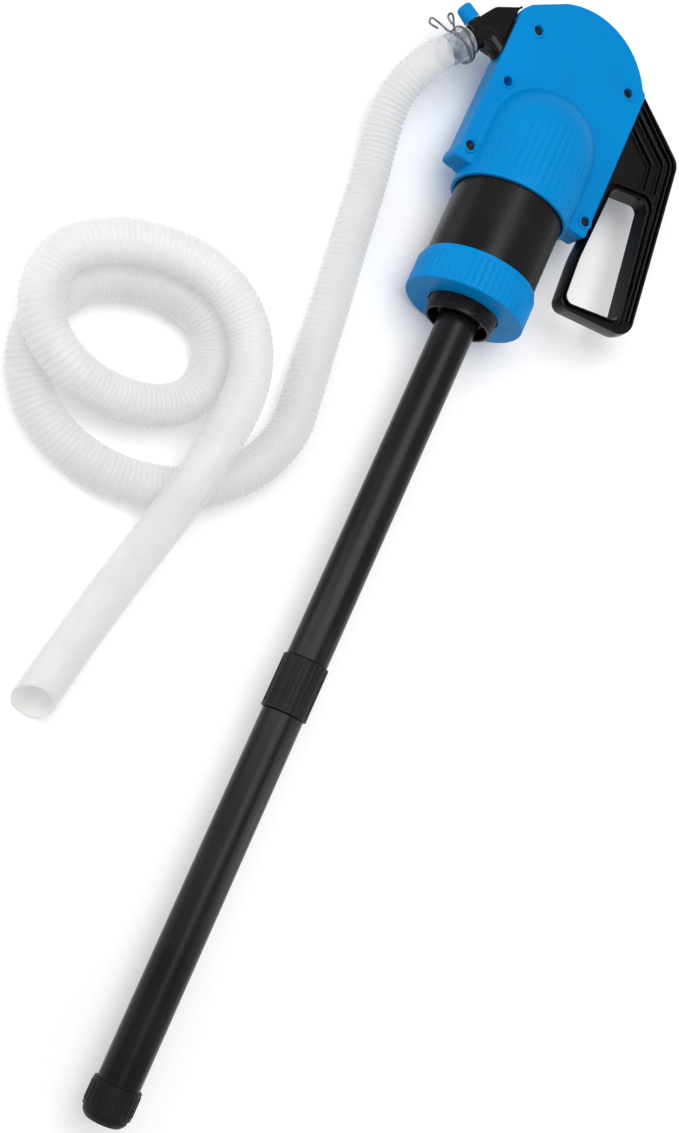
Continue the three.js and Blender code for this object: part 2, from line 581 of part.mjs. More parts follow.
makeCollar();
makeBungNipple();
makeInlet();
makeSuctionTubes();
makeFoot();
makeBarrel();
makePiston();
makeRod();
makeHead();
makeCover(1);
makeCover(-1);
makeScrews();
makeLever();
makeSpout();
makeHose();
makeClamp();

// The origin is the middle of the footprint of the pump without its hose.
const box = new THREE.Box3();
for (const mesh of pump.children) {
  if (!mesh.name.startsWith('hose_')) box.expandByObject(mesh);
}
pump.position.set(-(box.min.x + box.max.x) / 2, -(box.min.y + box.max.y) / 2, -box.min.z);

const object = new THREE.Group();
object.add(pump);
export default object;
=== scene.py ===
"""A lever-action drum pump with a corrugated delivery hose, lying on a pale floor.

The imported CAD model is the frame. Each visible part is rebuilt here in finer mesh work, in metres,
in the pump's own coordinates: the origin is on the pump axis at the collar's lower face, +Y runs
to the head, +X to the lever and +Z up. ORIGIN is where that point lies in the frame.
"""
from bisect import bisect_right
from math import acos, atan2, cos, pi, radians, sin, sqrt

import bmesh
import bpy
from mathutils import Matrix, Vector
from mathutils.geometry import tessellate_polygon


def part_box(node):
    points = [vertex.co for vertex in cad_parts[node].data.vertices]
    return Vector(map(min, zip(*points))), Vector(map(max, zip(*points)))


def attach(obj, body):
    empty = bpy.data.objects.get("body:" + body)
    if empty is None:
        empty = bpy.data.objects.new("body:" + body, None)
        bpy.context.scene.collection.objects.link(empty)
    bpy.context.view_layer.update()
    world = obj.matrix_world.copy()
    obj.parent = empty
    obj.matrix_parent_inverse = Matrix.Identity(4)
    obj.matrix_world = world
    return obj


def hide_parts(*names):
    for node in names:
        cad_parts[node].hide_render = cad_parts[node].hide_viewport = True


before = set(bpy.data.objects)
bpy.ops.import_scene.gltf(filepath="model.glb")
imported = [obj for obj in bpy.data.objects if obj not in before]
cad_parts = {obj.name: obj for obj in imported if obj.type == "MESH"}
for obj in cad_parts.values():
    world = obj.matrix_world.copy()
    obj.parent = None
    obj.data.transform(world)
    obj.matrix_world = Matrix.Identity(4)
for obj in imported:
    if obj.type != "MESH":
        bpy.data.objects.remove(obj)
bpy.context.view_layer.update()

# ---------- driving dimensions
barrel_low, barrel_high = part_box("barrel")
ORIGIN = Vector((
    (barrel_low.x + barrel_high.x) / 2,
    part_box("collar")[0].y,
    (barrel_low.z + barrel_high.z) / 2,
))

GAP = 0.0003  # clearance between touching pieces

REST_RADIUS = 0.052  # collar ribs and housing bulge, which both touch the floor
COLLAR_HEIGHT = 0.0325
COLLAR_RIBS = 56
COLLAR_BORE = 0.031
NIPPLE_RADIUS = 0.0298  # 2 inch pipe thread
NIPPLE_END = -0.0131
NIPPLE_BORE = 0.0262
THREAD_PITCH = 0.0254 / 11
BARREL_RADIUS = 0.048
BARREL_BORE = 0.045
BARREL_TOP = 0.150

TUBE_RADIUS = 0.017
TUBE_BORE = 0.0146
SPIGOT_RADIUS = 0.0153  # the tubes' narrow ends, inside the coupling
JOINT_TOP = -0.3188
JOINT_BOTTOM = -0.3638
FOOT_TOP = -0.6608
FOOT_END = -0.690

WALL = 0.003  # moulded housing wall
HALF = 0.013  # half the housing's thickness
INNER = HALF - WALL  # inner face of each cover
SPLIT = GAP / 2  # inner rim of each cover
HOUSING_LEFT = -0.065
HOUSING_RIGHT = 0.0695
HOUSING_BOTTOM = 0.1075
HOUSING_TOP = (0.0039, 0.221)  # centre of the round top
HOUSING_TOP_RADIUS = 0.0703
SKIRT = 0.098
DOME_Y = 0.154
BLEND = 0.005  # fillet between the bulge and the flat face
RIB_ANGLE = 0.135  # between the bulge's upright ribs
BOSS_TOP = HALF + 0.0015  # rings round the screws and the pocket
FULCRUM = (0.052, 0.244)
SWING = radians(48)
SCREWS = {
    "cover_screw_upper_left": (-0.0446, 0.244),
    "cover_screw_lower_left": (-0.0574, 0.121),
    "cover_screw_lower_right": (0.0625, 0.1206),
    "cover_screw_fulcrum": FULCRUM,
}
POCKET = (-0.0506, 0.189)  # blind round pocket in the front cover
GATE_MARK = (0.0026, 0.2177)  # small moulding pip on the front cover
LEVER_HALF = 0.0085
WEB_HALF = 0.003
HUB_HALF = 0.0095
ARM_HALF = 0.008  # half the width of the short arm that drives the rod
SLOT_HALF = 0.0045

OUTLET = Vector((-0.614, 0.789, 0))
OUTLET_REACH = 0.0912
NOZZLE = Vector((-0.0915, 0.2065, 0))
NOZZLE_DIR = Vector((-0.6, -0.8, 0))
VENT = Vector((-0.0966, 0.2248, 0))
VENT_DIR = Vector((-0.91, 0.415, 0)).normalized()

HOSE_DIAMETER = 0.0348
HOSE_WALL = 0.0011
HOSE_SIDES = 40
RIB_PITCH = 0.0045
PLAIN_LENGTH = 0.235  # smooth stretch before the hose's open end
MOUTH_DEPTH = 0.045  # how far in the open end has an inner wall
CUFF_RADIUS = 0.0134
CUFF_LENGTH = 0.026
LIE = -0.034  # centre of hose lying on the floor
ON_HOSE = -0.004  # a turn nested on two others
OVER = 0.003  # a turn crossing straight over another
HOSE_ROUTE = [
    (-0.0916, 0.2064, 0), (-0.099, 0.1965, 0), (-0.107, 0.1858, 0), (-0.1145, 0.173, -0.003),
    (-0.121, 0.157, -0.009), (-0.124, 0.138, -0.017), (-0.121, 0.116, -0.025), (-0.115, 0.092, -0.031),
    (-0.109, 0.061, LIE), (-0.105, 0.028, LIE), (-0.100, -0.008, LIE), (-0.095, -0.044, LIE),
    (-0.090, -0.082, LIE), (-0.085, -0.118, LIE), (-0.082, -0.150, LIE), (-0.090, -0.182, LIE),
    (-0.110, -0.212, LIE), (-0.139, -0.235, LIE), (-0.173, -0.248, LIE), (-0.208, -0.252, LIE),
    (-0.242, -0.246, LIE), (-0.270, -0.231, LIE), (-0.289, -0.207, LIE), (-0.296, -0.180, LIE),
    (-0.293, -0.153, LIE), (-0.280, -0.130, LIE), (-0.257, -0.113, LIE), (-0.230, -0.103, LIE),
    (-0.201, -0.102, LIE), (-0.177, -0.112, LIE), (-0.164, -0.131, LIE), (-0.162, -0.156, -0.032),
    (-0.173, -0.178, -0.028), (-0.197, -0.194, -0.022), (-0.232, -0.203, -0.012),
    (-0.268, -0.200, OVER - 0.002), (-0.296, -0.182, OVER), (-0.308, -0.155, 0),
    (-0.305, -0.127, ON_HOSE), (-0.289, -0.107, ON_HOSE), (-0.266, -0.092, ON_HOSE),
    (-0.239, -0.083, ON_HOSE), (-0.208, -0.080, ON_HOSE), (-0.177, -0.088, ON_HOSE),
    (-0.153, -0.107, ON_HOSE), (-0.140, -0.133, -0.001), (-0.136, -0.162, 0.002),
    (-0.138, -0.196, OVER), (-0.142, -0.232, OVER), (-0.147, -0.268, -0.006),
    (-0.153, -0.306, -0.020), (-0.160, -0.348, -0.030), (-0.167, -0.391, LIE), (-0.174, -0.434, LIE),
]

# The camera, from the pump's origin.
CAMERA_PLACE = Vector((-0.3884, -0.4775, 1.0968))
CAMERA_FORWARD = Vector((0.3216, 0.2010, -0.9253))
CAMERA_UP = Vector((-0.4455, 0.8944, 0.0394))
CAMERA_LENS = 47.66


# ---------- outlines
def rounded(corners, steps=6):
    """A closed outline of (x, y, cut) corners. Each cut corner becomes an arc that starts that far off."""
    points = []
    for i, (x, y, *rest) in enumerate(corners):
        here = Vector((x, y))
        cut = rest[0] if rest else 0
        if cut == 0:
            points.append(here)
            continue
        back = (Vector(corners[i - 1][:2]) - here).normalized()
        on = (Vector(corners[(i + 1) % len(corners)][:2]) - here).normalized()
        half = back.angle(on) / 2
        centre = here + (back + on).normalized() * (cut / cos(half))
        start = here + back * cut - centre
        turn = (pi - 2 * half) * (1 if start.cross(here + on * cut - centre) > 0 else -1)
        for s in range(steps + 1):
            a = turn * s / steps
            points.append(centre + Matrix.Rotation(a, 2) @ start)
    return points


def arc(cx, cy, radius, start, end, steps):
    """Points of an arc, from one angle to another."""
    angles = [start + (end - start) * i / steps for i in range(steps + 1)]
    return [(cx + radius * cos(a), cy + radius * sin(a)) for a in angles]


def area(points):
    """The area inside an outline, negative where it runs clockwise."""
    return sum(points[i - 1][0] * p[1] - p[0] * points[i - 1][1] for i, p in enumerate(points)) / 2


def offset(points, distance):
    """The outline moved inwards by a distance, with mitred corners."""
    turn = 1 if area(points) > 0 else -1
    moved = []
    for i, here in enumerate(points):
        here = Vector(here)
        before = (here - Vector(points[i - 1])).normalized()
        after = (Vector(points[(i + 1) % len(points)]) - here).normalized()
        first = Vector((-before.y, before.x)) * turn
        second = Vector((-after.y, after.x)) * turn
        mitre = (first + second).normalized()
        moved.append(here + mitre * distance / max(mitre.dot(first), 0.3))
    return moved


# ---------- solids
def closed_mesh(verts, faces, cap=False):
    """A mesh with doubled points joined, open ends filled if asked, and its faces pointing out."""
    mesh = bpy.data.meshes.new("solid")
    mesh.from_pydata([tuple(v) for v in verts], [], faces)
    work = bmesh.new()
    work.from_mesh(mesh)
    bmesh.ops.remove_doubles(work, verts=work.verts, dist=1e-7)
    if cap:
        bmesh.ops.holes_fill(work, edges=work.edges)
    bmesh.ops.recalc_face_normals(work, faces=work.faces)
    work.to_mesh(mesh)
    work.free()
    return mesh


def lathe(profile, segments=96, wave=None):
    """A closed profile of (radius, y) points turned about the Y axis. wave(angle, r, y) changes its radii."""
    rows = len(profile)
    on_axis = profile[0][0] == 0 and profile[-1][0] == 0
    verts, faces = [], []
    for i in range(segments):
        a = 2 * pi * i / segments
        for r, y in profile:
            radius = wave(a, r, y) if wave else r
            verts.append((radius * sin(a), y, radius * cos(a)))
    for i in range(segments):
        here, there = i * rows, (i + 1) % segments * rows
        for k in range(rows - 1 if on_axis else rows):
            m = (k + 1) % rows
            faces.append((here + k, here + m, there + m, there + k))
    return closed_mesh(verts, faces)


def slab(loops, stations):
    """A plate along Z. At each (inset, z) station its outline shrinks and its holes grow by the inset."""
    verts, faces, rings = [], [], []
    for n, loop in enumerate(loops):
        rows = []
        for inset, z in stations:
            ring = offset(loop, inset if n == 0 else -inset)
            rows.append(range(len(verts), len(verts) + len(ring)))
            verts += [(p.x, p.y, z) for p in ring]
        rings.append(rows)
        for low, high in zip(rows, rows[1:]):
            for i in range(len(loop)):
                faces.append((low[i - 1], low[i], high[i], high[i - 1]))
    for end in (0, -1):
        index = [i for rows in rings for i in rows[end]]
        flat = [[Vector(verts[i]) for i in rows[end]] for rows in rings]
        faces += [tuple(index[i] for i in triangle) for triangle in tessellate_polygon(flat)]
    return closed_mesh(verts, faces)


def soft_edges(z0, z1, edge, low=True, steps=4):
    """Stations of a plate whose upper edge is rounded, and its lower edge too if low is set."""
    turns = [pi / 2 * k / steps for k in range(steps + 1)]
    lower = [(edge * (1 - sin(a)), z0 + edge * (1 - cos(a))) for a in turns]
    upper = [(edge * (1 - cos(a)), z1 - edge * (1 - sin(a))) for a in turns]
    return (lower if low else [(0, z0)]) + upper


def flared_lip(face, edge, way):
    """Stations of a cutter that leaves a rounded lip at a face, and runs on past it."""
    turns = [pi / 2 * k / 3 for k in range(4)]
    lip = [(-edge * (1 - cos(a)), face - way * edge * (1 - sin(a))) for a in turns]
    return lip + [(-edge, face + way * 0.002)]


def flared(floor, face, edge):
    """Stations of a cutter from its floor to a face, rounded at both."""
    way = 1 if face > floor else -1
    foot = [(edge, floor), (edge * 0.3, floor + way * edge * 0.3), (0, floor + way * edge)]
    return foot + flared_lip(face, edge, way)


def placed(mesh, point=(0, 0, 0), direction=(0, 1, 0)):
    """The mesh turned so that its +Y points along direction, and moved to the point."""
    turn = Vector((0, 1, 0)).rotation_difference(Vector(direction))
    mesh.transform(Matrix.Translation(Vector(point)) @ turn.to_matrix().to_4x4())
    return mesh


def turned(corners, steps=3, segments=96):
    """A round body from (radius, y, cut) corners."""
    return lathe([tuple(p) for p in rounded(corners, steps)], segments)


def rod(point, direction, s0, s1, radius, edge=0.0, segments=48):
    """A round bar from distance s0 to s1 along a direction, with rounded ends."""
    corners = [(0, s0), (radius, s0, edge), (radius, s1, edge), (0, s1)]
    return placed(turned(corners, 4, segments), point, direction)


def box(low, high):
    """A block between two opposite corners."""
    x0, y0, z0 = low
    x1, y1, z1 = high
    return slab([[(x0, y0), (x1, y0), (x1, y1), (x0, y1)]], [(0, z0), (0, z1)])


def added(name, data):
    """A new object in the scene."""
    made = bpy.data.objects.new(name, data)
    bpy.context.scene.collection.objects.link(made)
    return made


def combined(mesh, tools, operation):
    """The mesh joined with, cut by or held to each of the tools in turn."""
    target = added("target", mesh)
    helpers = []
    for tool in tools:
        helper = added("tool", tool)
        helper.hide_render = True
        step = target.modifiers.new("boolean", "BOOLEAN")
        step.operation, step.solver, step.object = operation, "MANIFOLD", helper
        helpers.append(helper)
    graph = bpy.context.evaluated_depsgraph_get()
    made = bpy.data.meshes.new_from_object(target.evaluated_get(graph))
    for thing in (target, *helpers):
        bpy.data.objects.remove(thing)
    return made


def joined(mesh, *tools):
    return combined(mesh, tools, "UNION")


def cut(mesh, *tools):
    return combined(mesh, tools, "DIFFERENCE")


class Route:
    """A smooth line through its points, measured by length, with a frame that doesn't twist."""

    def __init__(self, points, steps=20):
        line = [Vector(p) for p in points]
        line = [2 * line[0] - line[1], *line, 2 * line[-1] - line[-2]]
        self.points = []
        for p0, p1, p2, p3 in zip(line, line[1:], line[2:], line[3:]):
            d0, d1, d2 = (sqrt((b - a).length) for a, b in ((p0, p1), (p1, p2), (p2, p3)))
            m1 = ((p1 - p0) / d0 - (p2 - p0) / (d0 + d1) + (p2 - p1) / d1) * d1
            m2 = ((p2 - p1) / d1 - (p3 - p1) / (d1 + d2) + (p3 - p2) / d2) * d1
            for i in range(steps):
                t = i / steps
                a, b = 2 * (p1 - p2) + m1 + m2, 3 * (p2 - p1) - 2 * m1 - m2
                self.points.append(((a * t + b) * t + m1) * t + p1)
        self.points.append(line[-2].copy())
        self.reach = [0.0]
        for a, b in zip(self.points, self.points[1:]):
            self.reach.append(self.reach[-1] + (b - a).length)
        self.length = self.reach[-1]
        ways = [(b - a).normalized() for a, b in zip(self.points, self.points[1:])]
        self.ways = [ways[0], *((a + b).normalized() for a, b in zip(ways, ways[1:])), ways[-1]]
        side = self.ways[0].orthogonal().normalized()
        self.sides = []
        for way in self.ways:
            side = (side - way * side.dot(way)).normalized()
            self.sides.append(side)

    def at(self, distance):
        """The point, way and side at a distance along the line."""
        low = min(max(bisect_right(self.reach, distance) - 1, 0), len(self.reach) - 2)
        share = (distance - self.reach[low]) / (self.reach[low + 1] - self.reach[low])
        point = self.points[low].lerp(self.points[low + 1], share)
        way = self.ways[low].lerp(self.ways[low + 1], share).normalized()
        side = self.sides[low].lerp(self.sides[low + 1], share)
        return point, way, (side - way * side.dot(way)).normalized()


def skin(count, sides):
    """The faces between rings of points that follow each other."""
    faces = []
    for here in range(0, (count - 1) * sides, sides):
        for i in range(sides):
            j = (i + 1) % sides
            faces.append((here + i, here + j, here + sides + j, here + sides + i))
    return faces


def tube(route, profile, sides, cap=False):
    """Rings along a route, one for each (distance, radius) of the profile."""
    verts = []
    for distance, radius in profile:
        point, way, side = route.at(distance)
        other = way.cross(side)
        for i in range(sides):
            a = 2 * pi * i / sides
            verts.append(point + (side * cos(a) + other * sin(a)) * radius)
    return closed_mesh(verts, skin(len(profile), sides), cap)


# ---------- materials
class Shader:
    """A node material round one Principled shader."""

    def __init__(self, name, **values):
        self.material = bpy.data.materials.new(name)
        self.material.use_nodes = True
        self.tree = self.material.node_tree
        self.surface = next(n for n in self.tree.nodes if n.type == "BSDF_PRINCIPLED")
        self.preset(self.surface, **values)
        self.place = self.node("TexCoord").outputs["Object"]

    def preset(self, node, **values):
        """The node with its inputs set, whose names are written with _ for a space."""
        for socket, value in values.items():
            node.inputs[socket.replace("_", " ")].default_value = value
        return node

    def node(self, kind, **values):
        """A new node of a kind."""
        return self.preset(self.tree.nodes.new("ShaderNode" + kind), **values)

    def link(self, source, node, socket):
        """Joins an output to an input of a node."""
        self.tree.links.new(source, node.inputs[socket])

    def stretched(self, scale):
        """Object coordinates, scaled differently along each axis."""
        node = self.node("Mapping", Scale=scale)
        self.link(self.place, node, "Vector")
        return node.outputs["Vector"]

    def noise(self, scale, detail=3.0, roughness=0.5, vector=None):
        """Cloudy noise on the piece's own coordinates."""
        node = self.node("TexNoise", Scale=scale, Detail=detail, Roughness=roughness)
        self.link(vector or self.place, node, "Vector")
        return node.outputs["Fac"]

    def ramp(self, source, low, high, from_min=0.35, from_max=0.65):
        """The source's range, from_min to from_max, spread from low to high."""
        node = self.node("MapRange", From_Min=from_min, From_Max=from_max, To_Min=low, To_Max=high)
        self.link(source, node, "Value")
        return node.outputs["Result"]

    def math(self, operation, first, second):
        """A sum or product of outputs and numbers."""
        node = self.node("Math")
        node.operation = operation
        for i, value in enumerate((first, second)):
            if isinstance(value, (int, float)):
                node.inputs[i].default_value = value
            else:
                self.link(value, node, i)
        return node.outputs["Value"]

    def coloured(self, source, first, second):
        """Gives the surface a colour between two tones."""
        node = self.node("Mix")
        node.data_type = "RGBA"
        node.inputs["A"].default_value = (*first, 1)
        node.inputs["B"].default_value = (*second, 1)
        self.link(source, node, "Factor")
        self.link(node.outputs["Result"], self.surface, "Base Color")

    def bump(self, height, strength, depth):
        """Fine relief on the surface."""
        node = self.node("Bump", Strength=strength, Distance=depth)
        self.link(height, node, "Height")
        self.link(node.outputs["Normal"], self.surface, "Normal")


def moulded(name, tone, shade, rough, gleam):
    """Injection-moulded plastic: spark texture, cloudy gloss, faint scuffs and slightly uneven colour."""
    made = Shader(name, Specular_IOR_Level=gleam)
    cloud = made.noise(22, detail=4)
    scuffs = made.noise(240, detail=2, roughness=0.6, vector=made.stretched((1, 0.06, 1)))
    spark = made.noise(2600, detail=2, roughness=0.6)
    worn = made.ramp(scuffs, 0, 0.05, from_min=0.58, from_max=0.72)
    made.coloured(made.ramp(cloud, 0, 1), tone, shade)
    gloss = made.math("ADD", made.ramp(cloud, rough - 0.02, rough + 0.03), worn)
    made.link(gloss, made.surface, "Roughness")
    relief = made.math("ADD", spark, made.math("MULTIPLY", scuffs, 0.4))
    made.bump(relief, strength=0.35, depth=0.00005)
    return made.material


def turned_steel(name, tone, shade, rough):
    """Bright plated steel with fine drawing marks."""
    made = Shader(name, Metallic=1.0)
    marks = made.noise(900, detail=3, roughness=0.6, vector=made.stretched((1, 1, 0.15)))
    stain = made.noise(140, detail=4)
    made.coloured(made.ramp(stain, 0, 1), tone, shade)
    made.link(made.ramp(marks, rough - 0.08, rough + 0.12), made.surface, "Roughness")
    made.bump(marks, strength=0.25, depth=0.00003)
    return made.material


def rubber(name):
    """Soft matt rubber with a fine bloom."""
    made = Shader(name)
    bloom = made.noise(60, detail=5)
    pores = made.noise(1500, detail=3)
    made.coloured(made.ramp(bloom, 0, 1), (0.010, 0.010, 0.011), (0.022, 0.022, 0.024))
    made.link(made.ramp(bloom, 0.7, 0.88), made.surface, "Roughness")
    made.bump(pores, strength=0.4, depth=0.00008)
    return made.material


def clear_vinyl(name, tone, shade, alpha, rough, painted_glow, clouds):
    """Translucent hose plastic, with clouds and fine lines. Its emission is a painted glow that stands in for
    light scattered in its wall and evens out its shading.
    """
    made = Shader(name, Alpha=alpha, IOR=1.45, Specular_IOR_Level=0.4, Emission_Strength=painted_glow,
                  Emission_Color=(0.93, 0.93, 0.92, 1))
    cloud = made.noise(clouds, detail=5)
    ripple = made.noise(700, detail=3, roughness=0.6)
    made.coloured(made.ramp(cloud, 0, 1), tone, shade)
    made.link(made.ramp(ripple, rough - 0.05, rough + 0.08), made.surface, "Roughness")
    made.bump(ripple, strength=0.25, depth=0.0001)
    return made.material


BLUE = moulded("blue_moulding", (0.0, 0.204, 0.525), (0.0, 0.191, 0.495), rough=0.36, gleam=0.06)
BLACK = moulded("black_moulding", (0.005, 0.005, 0.0055), (0.008, 0.008, 0.009), rough=0.28, gleam=0.17)
LEVER_BLACK = moulded("lever_moulding", (0.0025, 0.0025, 0.0027), (0.004, 0.004, 0.004),
                      rough=0.24, gleam=0.21)
DARK = moulded("dark_moulding", (0.005, 0.005, 0.0055), (0.010, 0.010, 0.011), rough=0.44, gleam=0.14)
WHITE = moulded("white_moulding", (0.72, 0.74, 0.76), (0.64, 0.66, 0.69), rough=0.45, gleam=0.4)
STEEL = turned_steel("plated_steel", (0.50, 0.52, 0.55), (0.38, 0.39, 0.41), rough=0.28)
SCREW_STEEL = turned_steel("blackened_steel", (0.018, 0.017, 0.018), (0.05, 0.042, 0.04), rough=0.4)
WIRE_STEEL = turned_steel("wire_steel", (0.26, 0.25, 0.25), (0.12, 0.11, 0.11), rough=0.32)
RUBBER = rubber("black_rubber")
# The hose, the cuff and the mouth glow with painted light: a steady emission that brightens them and evens
# their shading.
HOSE = clear_vinyl("milky_hose", (0.52, 0.52, 0.52), (0.48, 0.48, 0.48),
                   alpha=0.58, rough=0.30, painted_glow=0.22, clouds=35)
# Inside of the open end: a lighter tone and a stronger glow, painted light over the shade that falls inside
# the mouth.
MOUTH_PAINTED_GLOW = clear_vinyl("hose_mouth_painted_glow", (0.55, 0.55, 0.54), (0.51, 0.51, 0.50),
                    alpha=0.58, rough=0.40, painted_glow=0.28, clouds=35)
CUFF = clear_vinyl("clear_cuff", (0.52, 0.60, 0.68), (0.16, 0.21, 0.27),
                   alpha=0.52, rough=0.16, painted_glow=0.05, clouds=130)


# ---------- pieces
def finished(name, mesh, materials, nodes, body="pump_body", sharp=radians(32)):
    """A piece of the pump made from a mesh in pump coordinates, which stands for CAD nodes."""
    mesh.name = name
    mesh.materials.clear()
    for material in materials if isinstance(materials, list) else [materials]:
        mesh.materials.append(material)
    mesh.polygons.foreach_set("use_smooth", [True] * len(mesh.polygons))
    mesh.set_sharp_from_angle(angle=sharp)
    made = added(name, mesh)
    even = made.modifiers.new("even_normals", "WEIGHTED_NORMAL")
    even.keep_sharp = True
    even.weight = 80
    made.location = ORIGIN
    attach(made, body)
    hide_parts(*nodes)
    return made


# ---------- camera, light and floor
def make_camera():
    data = bpy.data.cameras.new("camera")
    data.lens = CAMERA_LENS
    camera = added("camera", data)
    back = -CAMERA_FORWARD.normalized()
    right = CAMERA_UP.cross(back).normalized()
    turn = Matrix((right, back.cross(right), back)).transposed()
    camera.matrix_world = Matrix.Translation(ORIGIN + CAMERA_PLACE) @ turn.to_4x4()
    bpy.context.scene.camera = camera


def make_floor():
    size = 6.0
    mesh = bpy.data.meshes.new("floor")
    corners = [(-size, -size, 0), (size, -size, 0), (size, size, 0), (-size, size, 0)]
    mesh.from_pydata(corners, [], [(0, 1, 2, 3)])
    floor = added("floor", mesh)
    made = Shader("pale_floor")
    cloud = made.noise(3)
    made.coloured(cloud, (0.93, 0.93, 0.93), (0.95, 0.95, 0.95))
    made.link(made.ramp(cloud, 0.75, 0.85), made.surface, "Roughness")
    mesh.materials.append(made.material)


def make_lights():
    world = bpy.data.worlds.new("studio")
    bpy.context.scene.world = world
    world.use_nodes = True
    sky = world.node_tree.nodes["Background"]
    sky.inputs["Color"].default_value = (1.0, 1.0, 1.0, 1)
    sky.inputs["Strength"].default_value = 0.47
    middle = Vector((-0.05, 0.0, 0.05))
    softboxes = [  # name, place, width, height and watts
        ("overhead", (-0.35, 0.35, 1.9), 1.5, 1.5, 28),
        ("left_strip", (-1.5, 0.1, 0.7), 0.35, 2.0, 10),
        ("right_strip", (1.4, -0.2, 0.55), 0.30, 2.0, 7.5),
    ]
    for name, place, width, height, power in softboxes:
        data = bpy.data.lights.new(name, "AREA")
        data.shape = "RECTANGLE"
        data.size, data.size_y, data.energy = width, height, power
        light = added(name, data)
        light.location = place
        light.rotation_euler = (middle - Vector(place)).to_track_quat("-Z", "Y").to_euler()
    bpy.context.scene.view_settings.view_transform = "Standard"


# ---------- hose and clamp
def hose_crest(s, length):
    """Outer radius of the hose at a distance from the spout, at the crest of a corrugation."""
    plain = length - PLAIN_LENGTH
    points = [
        (0, CUFF_RADIUS), (CUFF_LENGTH, CUFF_RADIUS), (CUFF_LENGTH + 0.006, 0.0150), (0.20, 0.0160),
        (0.42, HOSE_DIAMETER / 2), (plain, HOSE_DIAMETER / 2), (plain + 0.012, 0.0166), (length, 0.0168),
    ]
    for (s0, r0), (s1, r1) in zip(points, points[1:]):
        if s <= s1:
            share = (s - s0) / (s1 - s0)
            return r0 + (r1 - r0) * share
    return points[-1][1]


def hose_skin(end):
    """The hose's outer rings, corrugated up to its plain stretch, and the inner rings of its mouth."""
    start = 0.0012
    outer = [(start, CUFF_RADIUS - 0.0006), (start + 0.0006, CUFF_RADIUS)]
    outer += [(s, CUFF_RADIUS) for s in (0.006, 0.012, 0.018, CUFF_LENGTH - 0.001)]
    ribs_from = CUFF_LENGTH + 0.003
    ribs_to = end - PLAIN_LENGTH
    count = round((ribs_to - ribs_from) / RIB_PITCH)
    pitch = (ribs_to - ribs_from) / count
    rib = [(0.0, 0.0), (0.16, 0.15), (0.32, 0.72), (0.5, 1.0), (0.68, 0.72), (0.84, 0.15)]
    for n in range(count):
        for share, height in rib:
            s = ribs_from + (n + share) * pitch
            depth = 0.0006 + 0.0005 * max(0.0, 1 - s / 0.35)
            outer.append((s, hose_crest(s, end) - depth * (1 - height)))
    plain = [ribs_to + (end - 0.0008 - ribs_to) * i / 40 for i in range(41)]
    outer += [(s, hose_crest(s, end)) for s in plain]
    outer.append((end, hose_crest(end, end) - 0.0006))
    inner = [(end - MOUTH_DEPTH * i / 9, hose_crest(end, end) - HOSE_WALL) for i in range(10)]
    return outer, inner


def slant_mouth(mesh, route, rings):
    """Cuts the hose's open end on a slant, so that its mouth faces up."""
    slant = 0.65
    reach = 0.035
    for k, (s, _) in enumerate(rings):
        share = max(0.0, 1 - (route.length - s) / reach)
        point, way, _ = route.at(s)
        for vert in mesh.vertices[k * HOSE_SIDES:(k + 1) * HOSE_SIDES]:
            vert.co -= way * (vert.co - point).z * slant * share


def make_hose():
    """The hose and its clear cuff, with its route and its middle line."""
    route = Route(HOSE_ROUTE)
    outer, inner = hose_skin(route.length)
    mesh = tube(route, outer + inner, HOSE_SIDES)
    slant_mouth(mesh, route, outer + inner)
    nodes = ["hose_cuff", "hose_lead", "hose_outer_turn", "hose_inner_turn", "hose_upper_turn", "hose_tail"]
    hose = finished("corrugated_hose", mesh, [HOSE, CUFF, MOUTH_PAINTED_GLOW], nodes,
                    sharp=radians(80))
    cuff_end = route.at(CUFF_LENGTH)[0]
    for face in mesh.polygons:
        away = face.center - cuff_end
        if away.dot(NOZZLE_DIR) < 0 and away.length < 0.035:
            face.material_index = 1
    # The mouth's inner wall takes the third material, whose painted glow lifts the shade inside the open end.
    for face in mesh.polygons[(len(outer) - 1) * HOSE_SIDES:]:
        face.material_index = 2
    path = [route.at(s)[0] + ORIGIN for s, _ in outer]
    return hose, route, path


def clamp_route():
    """The clamp's line: a finger loop, nearly two coils round the cuff, and a second loop."""
    coil = CUFF_RADIUS + 0.0016
    side = Vector((NOZZLE_DIR.y, -NOZZLE_DIR.x, 0))
    middle = NOZZLE + NOZZLE_DIR * 0.0065
    first = [
        (0.0165, 0.0190, 0.002), (0.0220, 0.0262, 0.0025), (0.0190, 0.0290, 0.003),
        (0.0166, 0.0255, 0.004), (0.0140, 0.0180, 0.0065),
    ]
    second = [
        (-0.0017, 0.0180, -0.003), (-0.0026, 0.0238, 0), (-0.0015, 0.0268, 0.001),
        (0.0029, 0.0252, 0.0015), (0.0026, 0.0178, 0.002),
    ]
    start = radians(25)
    sweep = radians(670)
    steps = 48
    turns = []
    for i in range(steps + 1):
        a = start + sweep * i / steps
        lead = 0.0080 * max(0.0, 1 - i / 10) ** 1.2
        turns.append((lead + 0.0034 - 0.0060 * i / steps, coil * cos(a), coil * sin(a)))
    line = [middle + NOZZLE_DIR * along + side * out + Vector((0, 0, up))
            for along, out, up in (*first, *turns, *second)]
    return Route(line, 8)


def make_clamp():
    """The clamp's round wire, with rounded ends."""
    radius = 0.0009
    route = clamp_route()
    straight = route.length - 2 * radius
    steps = round(straight / radius)
    body = [(radius + straight * i / steps, radius) for i in range(steps + 1)]
    tip = [(radius * (1 - cos(a)), radius * sin(a)) for a in (0.05, 0.5, 1.0)]
    tail = [(route.length - s, r) for s, r in reversed(tip)]
    mesh = tube(route, tip + body + tail, 14, cap=True)
    return finished("hose_clamp_wire", mesh, WIRE_STEEL, ["hose_clamp"])


make_camera()
make_floor()
make_lights()
hose, hose_route, hose_path = make_hose()
clamp = make_clamp()


